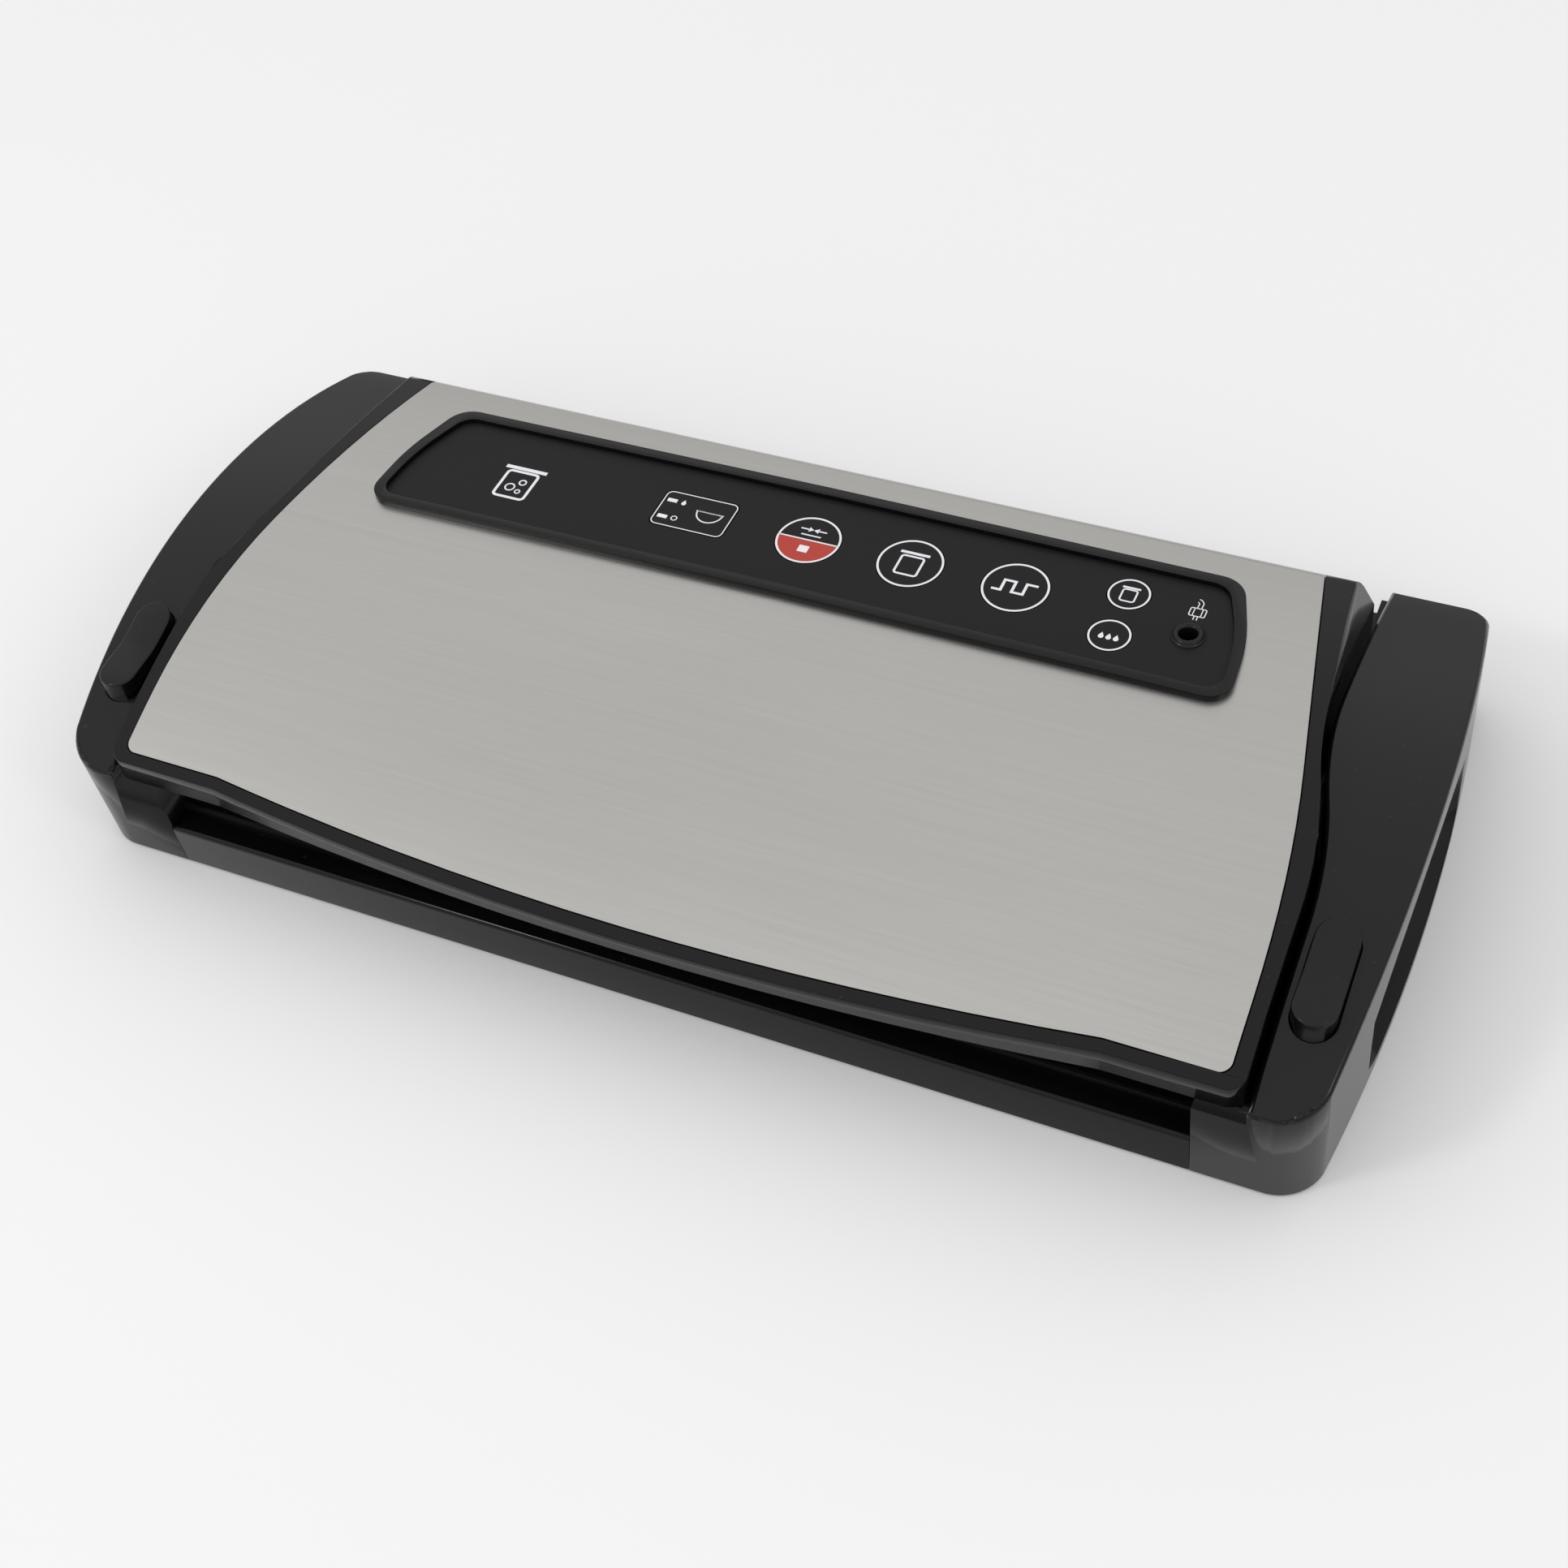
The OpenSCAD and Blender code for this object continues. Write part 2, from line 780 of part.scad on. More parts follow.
module pump_motor() {
    from = pump_x + 10;
    color([0.7, 0.7, 0.71])
        placed()
            difference() {
                along_x(from, from + motor_l)
                    translate([pump_y, pump_z])
                        circle(motor_r);
                along_x(from + 1.2, from + motor_l - 1.2)
                    translate([pump_y, pump_z])
                        circle(motor_r - 1.4);
                along_x(from - 1, from + motor_l + 1)
                    translate([pump_y, pump_z])
                        circle(shaft_r + run);
            }
}

module motor_rotor() {
    from = pump_x + 10;
    color([0.6, 0.5, 0.4])
        placed() {
            along_x(pump_x - 2, from + motor_l + 1.5)
                translate([pump_y, pump_z])
                    circle(shaft_r);
            along_x(from + 5, from + motor_l - 5)
                translate([pump_y, pump_z])
                    circle(motor_r - 3);
            along_x(pump_x - 3, pump_x + 4)
                translate([pump_y + 1, pump_z])
                    circle(3.4);
        }
}

module pump_bracket() {
    from = pump_x + 10 + motor_l / 2;
    color([0.55, 0.56, 0.58])
        placed()
            along_x(from - 5, from + 5)
                difference() {
                    translate([pump_y - motor_r - 4, plate_t])
                        square([2 * motor_r + 8, pump_z - plate_t]);
                    translate([pump_y, pump_z])
                        circle(motor_r);
                }
}

// from the trough's outlet to the pump head's inlet
module suction_tube() {
    run_z = 5.2;
    tube_r = 2.4;
    elbow_r = 3;
    riser_y = pump_y - 23;
    color([0.85, 0.85, 0.8])
        placed()
            difference() {
                union() {
                    translate([outlet_x, trough_y, run_z - elbow_r])
                        cylinder(r = elbow_r, h = trough_floor - run_z + elbow_r - eps);
                    translate([outlet_x, trough_y, run_z])
                        rotate([-90, 0, 0])
                            cylinder(r = tube_r, h = riser_y - trough_y);
                    translate([outlet_x, riser_y, run_z - elbow_r])
                        cylinder(r = elbow_r, h = pump_inlet_z - run_z + 2 * elbow_r + 0.3);
                    translate([outlet_x, riser_y, pump_inlet_z])
                        rotate([-90, 0, 0])
                            cylinder(r = elbow_r - 0.3, h = 8);
                }
                translate([outlet_x, riser_y + 1, pump_inlet_z])
                    rotate([-90, 0, 0])
                        cylinder(r = nipple_r, h = 12);
            }
}

module power_board() {
    color([0.1, 0.35, 0.2])
        placed() {
            block([-140, 100, 7], [-60, 148, 8.6]);
            for (x = [-134, -66], y = [106, 142])
                translate([x, y, plate_t])
                    cylinder(r = 3, h = 5);
            for (x = [-76, -70])
                translate([x, 130, 8.6])
                    cylinder(r = 2.8, h = 12);
            block([-132, 104, 8.6], [-122, 112, 18]);
        }
}

module transformer() {
    color([0.8, 0.68, 0.2])
        placed() {
            block([-118, 112, 8.6], [-86, 140, 12]);
            block([-114, 116, 12], [-90, 136, 24]);
            block([-118, 112, 24], [-86, 140, 26.5]);
        }
}

module power_inlet() {
    low = [inlet_x - 10.7, base_d - 16, inlet_z - 6.7];
    high = [inlet_x + 10.7, base_d - 0.3, inlet_z + 6.7];
    color([0.05, 0.05, 0.05])
        placed() {
            difference() {
                block(low, high);
                translate([0, base_d - 13, 0])
                    rotate([-90, 0, 0])
                        linear_extrude(20)
                            round_rect([inlet_x - 9, -inlet_z - 4.5], [inlet_x + 9, -inlet_z + 4.5], 4.4);
            }
            for (x = [-4, 4])
                translate([inlet_x + x, base_d - 13.5, inlet_z])
                    rotate([-90, 0, 0])
                        cylinder(r = 1.1, h = 10);
        }
}

// closes its contact when the lid comes down
module lid_switch() {
    half = 5;
    leg = 2;
    low = 16;
    high = 24;
    color([0.1, 0.1, 0.1])
        placed() {
            block([switch_x - half, switch_pin.y - 5.4, low], [switch_x + half, switch_pin.y + 6, high]);
            translate([switch_pin.x, switch_pin.y, high])
                block([-switch_pin_half.x, -switch_pin_half.y, 0],
                    [switch_pin_half.x, switch_pin_half.y, ledge_h + 0.8 - high]);
            for (x = [switch_x - half, switch_x + half - leg])
                block([x, switch_pin.y - 4, plate_t], [x + leg, switch_pin.y + 5, low]);
        }
}

// ---------- release buttons and catches ----------

module button_side() {
    pad = 20;
    bend_y = (button_front_y + button_rear_y) / 2;
    polygon([[button_front_y - pad, button_under - 1.5], [button_front_y - pad, button_front_h],
        [bend_y, button_front_h], [bend_y + 3, button_front_h + 0.45],
        [button_rear_y, button_rear_h], [button_rear_y + pad, button_rear_h],
        [button_rear_y + pad, button_under], [button_front_y + 8, button_under],
        [button_front_y + 6, button_under - 1.5]]);
}

function wedge_line(z) = ramp_low.x + (z - ramp_low.y) * catch_ratio;

module button() {
    intersection() {
        upright(30, 90)
            stadium(button_w / 2, button_front_y, button_rear_y);
        along_x(150, 220)
            button_side();
    }
    // tabs under the pod's roof that keep the button in
    front_tab = pod_roof(button_front_y - tab_reach) - front_tab_gap;
    rear_tab = pod_roof(button_rear_y + tab_reach) - rear_tab_gap;
    block([button_x - tab_half, button_front_y - tab_reach, front_tab - 1.9],
        [button_x + tab_half, button_front_y + 3, front_tab]);
    block([button_x - tab_half, button_rear_y - 3, rear_tab - 2.4],
        [button_x + tab_half, button_rear_y + tab_reach, rear_tab]);
    translate([0, hook_y + catch_w / 2 - 0.4, 0])
        rotate([90, 0, 0])
            linear_extrude(catch_w - 0.8)
                polygon([[ramp_low.x - 1.6, ramp_low.y], [ramp_low.x - ramp_gap, ramp_low.y],
                    [wedge_line(ramp_low.y + 6) - ramp_gap, ramp_low.y + 6],
                    [wedge_line(ramp_low.y + 6) - ramp_gap, button_under + 1],
                    [ramp_low.x - 1.6, button_under + 1]]);
}

module right_button() {
    color([0.07, 0.07, 0.075])
        placed()
            button();
}

module left_button() {
    color([0.07, 0.07, 0.075])
        placed()
            mirror([1, 0, 0])
                button();
}

// one coil spring, made by turning the wire's own level slice
module coil() {
    pitch = (button_under - spring_low - 2 * eps) / spring_turns;
    translate([button_x, spring_y, spring_low + eps])
        linear_extrude(pitch * spring_turns, twist = -360 * spring_turns,
            slices = 24 * spring_turns, $fn = 10)
            polygon([for (a = [0 : 36 : 324])
                let (rr = spring_r + spring_wire * cos(a), t = spring_wire * sin(a) * 360 / pitch)
                [rr * cos(t), rr * sin(t)]]);
}

module right_button_spring() {
    color([0.75, 0.75, 0.76])
        placed()
            coil();
}

module left_button_spring() {
    color([0.75, 0.75, 0.76])
        placed()
            mirror([1, 0, 0])
                coil();
}

// slides outward under its ramp when the button goes down, and lets the hook go
module catch() {
    low_y = hook_y - catch_w / 2;
    high_y = hook_y + catch_w / 2;
    shelf = ramp_low.y - button_travel - seat;
    block([catch_x + 3, low_y, nose_top - nose_t], [catch_end, high_y, shelf]);
    translate([0, high_y, 0])
        rotate([90, 0, 0])
            linear_extrude(catch_w)
                polygon([[catch_x, nose_top - nose_t], [catch_x, nose_top - nose_t + 0.5],
                    [catch_x + 3, nose_top], [catch_x + 3, nose_top - nose_t]]);
    translate([0, high_y, 0])
        rotate([90, 0, 0])
            linear_extrude(catch_w)
                polygon([[wedge_line(shelf), shelf], [wedge_line(ramp_low.y + 5), ramp_low.y + 5],
                    [catch_end, ramp_low.y + 5], [catch_end, shelf]]);
}

module right_catch() {
    color([0.82, 0.82, 0.8])
        placed()
            catch();
}

module left_catch() {
    color([0.82, 0.82, 0.8])
        placed()
            mirror([1, 0, 0])
                catch();
}

// carries the catch and the button's spring inside the pod
module latch_guide() {
    bed = nose_top - nose_t - seat;
    low_y = hook_y - catch_w / 2;
    high_y = hook_y + catch_w / 2;
    difference() {
        union() {
            block([guide_in, low_y - guide_rail, plate_t], [guide_out, high_y + guide_rail, bed]);
            for (y = [low_y - guide_rail, high_y + seat])
                block([guide_in + 2, y, bed], [guide_out, y + guide_rail - seat, nose_top + 2.5]);
            translate([button_x, spring_y, plate_t])
                cylinder(r = spring_r + 1.2, h = spring_low - plate_t);
            translate([button_x, spring_y, plate_t])
                cylinder(r = spring_r - spring_wire - 0.4, h = spring_low - plate_t + 3);
            block([button_x - 3, high_y + 2, plate_t], [button_x + 3, spring_y, bed]);
        }
        block([guide_in + 3, low_y, plate_t - 1], [guide_out - 3, high_y, bed - 3]);
    }
}

module right_latch_guide() {
    color([0.3, 0.3, 0.32])
        placed()
            latch_guide();
}

module left_latch_guide() {
    color([0.3, 0.3, 0.32])
        placed()
            mirror([1, 0, 0])
                latch_guide();
}

// ---------- lid outline ----------

// side view of the lid, drawn in by an inset
module lid_section(inset, low) {
    r = lid_r - inset;
    c = [lid_rear_y - lid_roll_r,
        lid_cz + sqrt(pow(lid_r - lid_roll_r, 2) - pow(lid_rear_y - lid_roll_r - lid_crown_y, 2))];
    cr = lid_roll_r - inset;
    out = unit(c - [lid_crown_y, lid_cz]);
    difference() {
        intersection() {
            translate([lid_crown_y, lid_cz])
                circle(r, $fn = 360);
            translate([-60, low])
                square([60 + lid_rear_y - inset, 170]);
        }
        corner_waste(c, cr, out, [1, 0]);
    }
}

// all that lies outside the lid's side view
module outside_lid(inset) {
    along_x(-body_w, body_w)
        difference() {
            translate([-100, -60])
                square([base_d + 200, 240]);
            lid_section(inset, -70);
        }
}

module nose(inset) {
    intersection() {
        translate([0, nose_cy])
            circle(nose_r + band_w - inset, $fn = 720);
        translate([-nose_half - 15, -40])
            square([2 * nose_half + 30, 80]);
    }
}

// plan of the lid, drawn in by an inset; a small round at each front corner
module lid_plan(inset) {
    round_r = 5 - min(inset, 4);
    x = pod_in_front - lid_gap - inset;
    y = lid_front_y + inset;
    difference() {
        union() {
            intersection() {
                between_pods(-lid_gap - inset);
                translate([-300, y])
                    square([600, 300]);
            }
            nose(inset);
        }
        for (side = [-1, 1])
            scale([side, 1])
                corner_waste([x - round_r, y + round_r], round_r, [0, -1], [1, 0]);
    }
}

// half the width of the steel: straight at first, then bending into an even taper
function steel_half(y) =
    y < steel_bend_y ? steel_front_half
    : y < steel_bend_end ? steel_front_half - arc_drop(steel_bend_r, y - steel_bend_y)
    : steel_front_half - arc_drop(steel_bend_r, steel_bend_end - steel_bend_y)
        - (y - steel_bend_end) * steel_taper;

// plan of the steel sheet, or of the seat it drops into
module steel_plan(grow = 0) {
    count = 8;
    bend_ys = [for (i = [0 : count]) steel_bend_y + (steel_bend_end - steel_bend_y) * i / count];
    ys = concat([steel_front_y - grow], bend_ys, [lid_rear_y + 20]);
    right = [for (y = ys) [steel_half(y) + grow, y]];
    left = [for (i = [len(ys) - 1 : -1 : 0]) [-right[i].x, right[i].y]];
    r = steel_corner_r + grow;
    difference() {
        union() {
            polygon(concat(right, left));
            nose(band_w - grow);
        }
        for (side = [-1, 1])
            scale([side, 1])
                corner_waste([steel_front_half + grow - r, steel_front_y - grow + r], r, [0, -1], [1, 0]);
    }
}

// the sloping flanks beside the steel at the rear
module flank_cuts(inset) {
    for (side = [0, 1])
        mirror([side, 0, 0])
            translate([flank_x - inset * 1.1, 80, 0])
                rotate([90, 0, flank_turn])
                    linear_extrude(260, center = true)
                        polygon([[-5, 69.5], [0, 60], [flank_run, flank_low], [60, flank_low],
                            [60, 90], [-5, 90]]);
}

module lid_shape(inset, low) {
    difference() {
        upright(low, 100)
            lid_plan(inset);
        outside_lid(inset);
        flank_cuts(inset);
    }
}

module on_panel() {
    translate([0, panel_y, panel_z])
        rotate([panel_tilt, 0, 0])
            children();
}

// outline of the panel rim, drawn in by an inset
module panel_outline(inset) {
    h = panel_d / 2;
    mid = (panel_rear_half + panel_front_half) / 2 + 3;
    right = [[0, -h + 1 + inset, 0], [panel_front_half - inset, -h + inset, 7 - inset * 0.6],
        [mid - inset, 0, 70], [panel_rear_half - inset, h - inset, 9 - inset * 0.6], [0, h + 0.8 - inset, 0]];
    left = [for (i = [3 : -1 : 1]) [-right[i].x, right[i].y, right[i][2]]];
    polygon(rounded_outline(concat(right, left), 8));
}

// ---------- lid mouldings ----------

module lid_frame() {
    color([0.06, 0.06, 0.065])
        placed() {
            difference() {
                union() {
                    difference() {
                        lid_shape(0, lid_edge_h);
                        lid_shape(wall + steel_t, lid_edge_h - 1);
                        // the nose is shut below, and the side walls stop short of the ledges
                        block([-300, -60, 0], [300, lid_front_y + wall, lip_h]);
                    }
                    intersection() {
                        lid_shape(0.5, lip_h);
                        block([-300, -60, lip_h], [300, skirt_y + wall, lip_h + wall]);
                    }
                    block([-skirt_half, skirt_y, skirt_h], [skirt_half, skirt_y + wall, lip_h + 1]);
                    for (side = [-1, 1])
                        block([side * hinge_x - 12, lid_rear_y - wall, lid_edge_h],
                            [side * hinge_x + 12, lid_rear_y, lid_edge_h + 12]);
                    intersection() {
                        lid_shape(0.5, lid_edge_h);
                        for (p = lid_screws)
                            translate([p.x, p.y, lid_edge_h + inner_t + eps])
                                cylinder(r = 3.4, h = 40);
                    }
                }
                // seat of the steel sheet
                difference() {
                    upright(steel_low, 100)
                        steel_plan(0.2);
                    along_x(-body_w, body_w)
                        lid_section(steel_t, 0);
                }
                on_panel()
                    upright(-30, 20)
                        panel_outline(1.2);
                // room for the base's hinge brackets
                for (side = [-1, 1])
                    translate([side * hinge_x, 0, 0])
                        along_x(-knuckle_w / 2 - seat - 4.6, knuckle_w / 2 + seat + 4.6)
                            translate([hinge_y, hinge_z])
                                circle(knuckle_r + 0.7);
                for (p = lid_screws)
                    translate([p.x, p.y, lid_edge_h])
                        cylinder(r = 1.4, h = 12);
            }
            for (side = [-1, 1])
                translate([side * hinge_x, 0, 0])
                    along_x(-knuckle_w / 2, knuckle_w / 2)
                        difference() {
                            union() {
                                translate([hinge_y, hinge_z])
                                    circle(knuckle_r);
                                translate([lid_rear_y - wall, hinge_z + 1])
                                    square([wall, lid_edge_h - hinge_z + 6]);
                            }
                            translate([hinge_y, hinge_z])
                                circle(hinge_pin_r + run);
                        }
        }
}

module steel_cover() {
    color([0.68, 0.67, 0.65])
        placed()
            difference() {
                intersection() {
                    along_x(-body_w / 2, body_w / 2)
                        lid_section(0, steel_low + 0.3);
                    upright(steel_low, 100)
                        steel_plan(0);
                }
                along_x(-body_w, body_w)
                    lid_section(steel_t, -5);
                on_panel()
                    upright(-30, 20)
                        panel_outline(1);
            }
}

module lid_inner() {
    color([0.1, 0.1, 0.105])
        placed()
            difference() {
                union() {
                    upright(lid_edge_h, lid_edge_h + inner_t)
                        intersection() {
                            lid_plan(wall + steel_t + seat);
                            translate([-300, skirt_y + wall + seat])
                                square([600, lid_rear_y - 12 - skirt_y]);
                        }
                    block([-pan_half, pan_front_y, inner_h], [pan_half, pan_rear_y, lid_edge_h + 1]);
                }
                block([-pan_half + pan_t, pan_front_y + pan_t, inner_h + pan_t],
                    [pan_half - pan_t, pan_rear_y - pan_t, 60]);
                for (p = lid_screws)
                    translate([p.x, p.y, lid_edge_h - 1]) {
                        cylinder(r = 2.9, h = 2.2);
                        cylinder(r = 1.55, h = 10);
                    }
                for (side = [-1, 1])
                    block([side * (hook_x + hook_t / 2) - 2, hook_y - hook_w / 2 - 0.4, 0],
                        [side * (hook_x + hook_t / 2) + 2, hook_y + hook_w / 2 + 0.4, 60]);
            }
}

module press_bar_holder() {
    color([0.75, 0.75, 0.76])
        placed()
            difference() {
                strip(heater_half + 2, 12, 21.9, inner_h);
                strip(heater_half + 3, 8, 21, 23.6);
            }
}

module press_bar() {
    color([0.75, 0.28, 0.18])
        placed()
            strip(heater_half, 7.8, close_high, 23.6);
}

// goes down through the ledge and is held under the catch once the lid is pressed home
module hook() {
    low_y = hook_y - hook_w / 2;
    high_y = hook_y + hook_w / 2;
    block([hook_x, low_y, barb_low], [hook_x + hook_t, high_y, 46]);
    block([hook_x + hook_t - eps, low_y, 38], [pod_in_front - lid_gap - wall - steel_t, high_y, 46]);
    translate([0, high_y, 0])
        rotate([90, 0, 0])
            linear_extrude(hook_w)
                polygon([[hook_x + hook_t - eps, barb_low], [hook_x + hook_t + 0.4, barb_low],
                    [hook_x + hook_t + barb, barb_low + barb_h * 0.7],
                    [hook_x + hook_t + barb, barb_low + barb_h], [hook_x + hook_t - eps, barb_low + barb_h]]);
}

module right_hook() {
    color([0.82, 0.82, 0.8])
        placed()
            hook();
}

module left_hook() {
    color([0.82, 0.82, 0.8])
        placed()
            mirror([1, 0, 0])
                hook();
}

// soft pegs under the lid's front corners
module rest_pegs() {
    color([0.45, 0.45, 0.46])
        placed()
            for (side = [-1, 1])
                translate([side * 167, skirt_y - 1, ledge_h + 0.3])
                    cylinder(r = 1.6, h = lip_h - ledge_h - 0.3);
}

module lid_screws() {
    color([0.6, 0.6, 0.6])
        placed()
            for (p = lid_screws)
                screw_small(p);
}

module screw_small(p) {
    translate([p.x, p.y, lid_edge_h + 0.15])
        difference() {
            union() {
                cylinder(r = 2.6, h = 1);
                cylinder(r = 1.4, h = 9);
            }
            for (a = [0, 90])
                rotate([0, 0, a])
                    block([-1.5, -0.3, -1], [1.5, 0.3, 0.5]);
        }
}

// ---------- control panel ----------

// a raised frame with a skirt that goes down through the steel and a ledge that carries the panel's face
module panel_rim() {
    ledge = 2.5;
    skirt = 6;
    color([0.06, 0.06, 0.065])
        placed()
            difference() {
                union() {
                    difference() {
                        on_panel()
                            upright(-1.6, rim_h)
                                panel_outline(0);
                        along_x(-body_w, body_w)
                            lid_section(0, 0);
                    }
                    on_panel()
                        upright(-skirt, 0.6)
                            panel_outline(1.4);
                }
                on_panel()
                    upright(-overlay_t, 20)
                        panel_outline(rim_w);
                on_panel()
                    upright(-skirt - 1, 20)
                        panel_outline(rim_w + ledge);
            }
}

module food_outline(grow) {
    size = food_key_size / 2 + [grow, grow];
    round_rect(food_key - size, food_key + size, 2 + grow);
}

module key_places(grow) {
    for (x = key_x)
        translate([x, key_v])
            circle(big_key_r + grow);
    for (v = small_key_v)
        translate([small_key_x, v])
            circle(small_key_r + grow);
}

module panel_face() {
    color([0.16, 0.16, 0.165])
        placed()
            on_panel()
                upright(-overlay_t, 0)
                    difference() {
                        panel_outline(rim_w + 0.1);
                        key_places(key_gap);
                        food_outline(key_gap);
                        translate(port_pos)
                            circle(port_r);
                    }
}

module round_key(x, v, r) {
    color([0.17, 0.17, 0.175])
        placed()
            on_panel()
                translate([x, v, 0]) {
                    translate([0, 0, -overlay_t])
                        cylinder(r = r, h = overlay_t);
                    translate([0, 0, -overlay_t - 0.9])
                        cylinder(r = r - 0.6, h = 0.9);
                    translate([0, 0, stem_low])
                        cylinder(r = 2, h = -stem_low - overlay_t);
                }
}

module key_vacuum() {
    round_key(key_x[0], key_v, big_key_r);
}

module key_seal() {
    round_key(key_x[1], key_v, big_key_r);
}

module key_pulse() {
    round_key(key_x[2], key_v, big_key_r);
}

module key_canister() {
    round_key(small_key_x, small_key_v[0], small_key_r);
}

module key_marinate() {
    round_key(small_key_x, small_key_v[1], small_key_r);
}

lamp_places = [food_key + [-9.2, 3.7], food_key + [-9.2, -3.7]];

module lamp_outline(grow) {
    for (p = lamp_places)
        translate(p - [1.6 + grow, 0.7 + grow])
            square([3.2 + 2 * grow, 1.4 + 2 * grow]);
}

module key_food() {
    color([0.17, 0.17, 0.175])
        placed()
            on_panel()
                difference() {
                    union() {
                        upright(-overlay_t, 0)
                            food_outline(0);
                        upright(-overlay_t - 0.9, -overlay_t)
                            food_outline(-0.6);
                        translate([food_key.x, food_key.y, stem_low])
                            cylinder(r = 2, h = -stem_low - overlay_t);
                    }
                    upright(-10, 1)
                        lamp_outline(0.3);
                }
}

// two light pipes that stay still while the key around them moves
module food_lamps() {
    color([0.9, 0.9, 0.88])
        placed()
            on_panel()
                upright(board_w, 0)
                    lamp_outline(0);
}

module control_board() {
    post_top = lid_edge_h + inner_t + seat + 0.15 - panel_z;
    post_low = (post_top + board_post_v * -sin(panel_tilt)) / cos(panel_tilt);
    switch_top = stem_low - key_travel - 0.35;
    switches = concat([for (x = key_x) [x, key_v]], [for (v = small_key_v) [small_key_x, v]], [food_key]);
    color([0.1, 0.35, 0.2])
        placed()
            on_panel() {
                upright(board_w - board_t, board_w)
                    round_rect([-58, -17], [110, 18], 2);
                for (p = switches)
                    translate([p.x, p.y, board_w]) {
                        block([-3, -3, 0], [3, 3, 2.6]);
                        cylinder(r = 1.7, h = switch_top - board_w);
                    }
                for (x = [-52, 84])
                    translate([x, board_post_v, post_low])
                        cylinder(r = 2.5, h = board_w - board_t - post_low);
            }
}

module hose_port() {
    color([0.06, 0.06, 0.065])
        placed()
            on_panel()
                translate([port_pos.x, port_pos.y, 0])
                    difference() {
                        union() {
                            translate([0, 0, -12])
                                cylinder(r = port_r - 0.8, h = 12);
                            translate([0, 0, -overlay_t])
                                cylinder(r = port_r, h = overlay_t + 1.6);
                            translate([0, 0, -18])
                                cylinder(r = 3.2, h = 6);
                        }
                        translate([0, 0, -20])
                            cylinder(r = port_bore_r, h = 40);
                    }
}

module port_tube() {
    color([0.85, 0.85, 0.8])
        placed()
            on_panel()
                translate([port_pos.x, port_pos.y, 0]) {
                    difference() {
                        translate([0, 0, -23.5])
                            cylinder(r = 4.2, h = 10.5);
                        translate([0, 0, -21])
                            cylinder(r = 3.2, h = 20);
                    }
                    translate([0, 0, -21])
                        rotate([-90, 0, 0])
                            cylinder(r = 3, h = 24);
                }
}

bottom_plate();
deck();
front_bar();
left_pod();
right_pod();
trough();
lower_gasket();
heater_base();
heating_strip();
nonstick_tape();
feet();
plate_screws();
hinge_pins();
pump_head();
pump_motor();
motor_rotor();
pump_bracket();
suction_tube();
power_board();
transformer();
power_inlet();
lid_switch();
left_latch_guide();
right_latch_guide();
left_button();
right_button();
left_button_spring();
right_button_spring();
left_catch();
right_catch();
lid_frame();
steel_cover();
lid_inner();
upper_gasket();
press_bar_holder();
press_bar();
left_hook();
right_hook();
rest_pegs();
panel_rim();
panel_face();
control_board();
key_vacuum();
key_seal();
key_pulse();
key_canister();
key_marinate();
key_food();
food_lamps();
hose_port();
port_tube();
lid_screws();
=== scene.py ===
import json
import math

import bmesh
import bpy
import numpy as np
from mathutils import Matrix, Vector


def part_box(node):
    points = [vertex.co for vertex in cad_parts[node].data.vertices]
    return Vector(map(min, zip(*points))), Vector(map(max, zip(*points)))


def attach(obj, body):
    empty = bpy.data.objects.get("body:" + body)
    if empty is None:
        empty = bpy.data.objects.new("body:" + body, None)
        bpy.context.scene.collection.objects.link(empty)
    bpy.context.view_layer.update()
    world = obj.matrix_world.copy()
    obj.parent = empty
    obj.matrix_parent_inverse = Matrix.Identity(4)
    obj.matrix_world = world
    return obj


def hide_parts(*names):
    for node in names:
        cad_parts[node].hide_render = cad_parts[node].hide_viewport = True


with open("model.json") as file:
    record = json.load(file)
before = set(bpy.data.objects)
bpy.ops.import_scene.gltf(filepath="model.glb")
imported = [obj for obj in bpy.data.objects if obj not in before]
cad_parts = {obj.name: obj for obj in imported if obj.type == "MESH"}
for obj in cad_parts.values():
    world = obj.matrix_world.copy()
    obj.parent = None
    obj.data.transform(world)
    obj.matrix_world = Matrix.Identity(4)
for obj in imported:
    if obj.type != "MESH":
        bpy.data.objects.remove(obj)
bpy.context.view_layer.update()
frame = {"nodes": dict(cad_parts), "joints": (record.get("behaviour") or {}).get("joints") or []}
MM = 0.001


# ---------- End pods ----------
# Each pod is one black ABS shell, moulded half-gloss and screwed down on the bottom plate.
# Its top edge carries a tooling radius, and the hand grip is a smooth scoop in its outer side.

class Value:
    """A socket of a material's tree that can be used in plain arithmetic."""

    def __init__(self, finish, socket):
        self.finish, self.socket = finish, socket

    def maths(self, operation, *terms):
        return self.finish.make("ShaderNodeMath", {"operation": operation}, dict(enumerate(terms)))

    def __add__(self, other):
        return self.maths("ADD", self, other)

    def __rsub__(self, other):
        return self.maths("SUBTRACT", other, self)

    def __mul__(self, other):
        return self.maths("MULTIPLY", self, other)

    __radd__, __rmul__ = __add__, __mul__


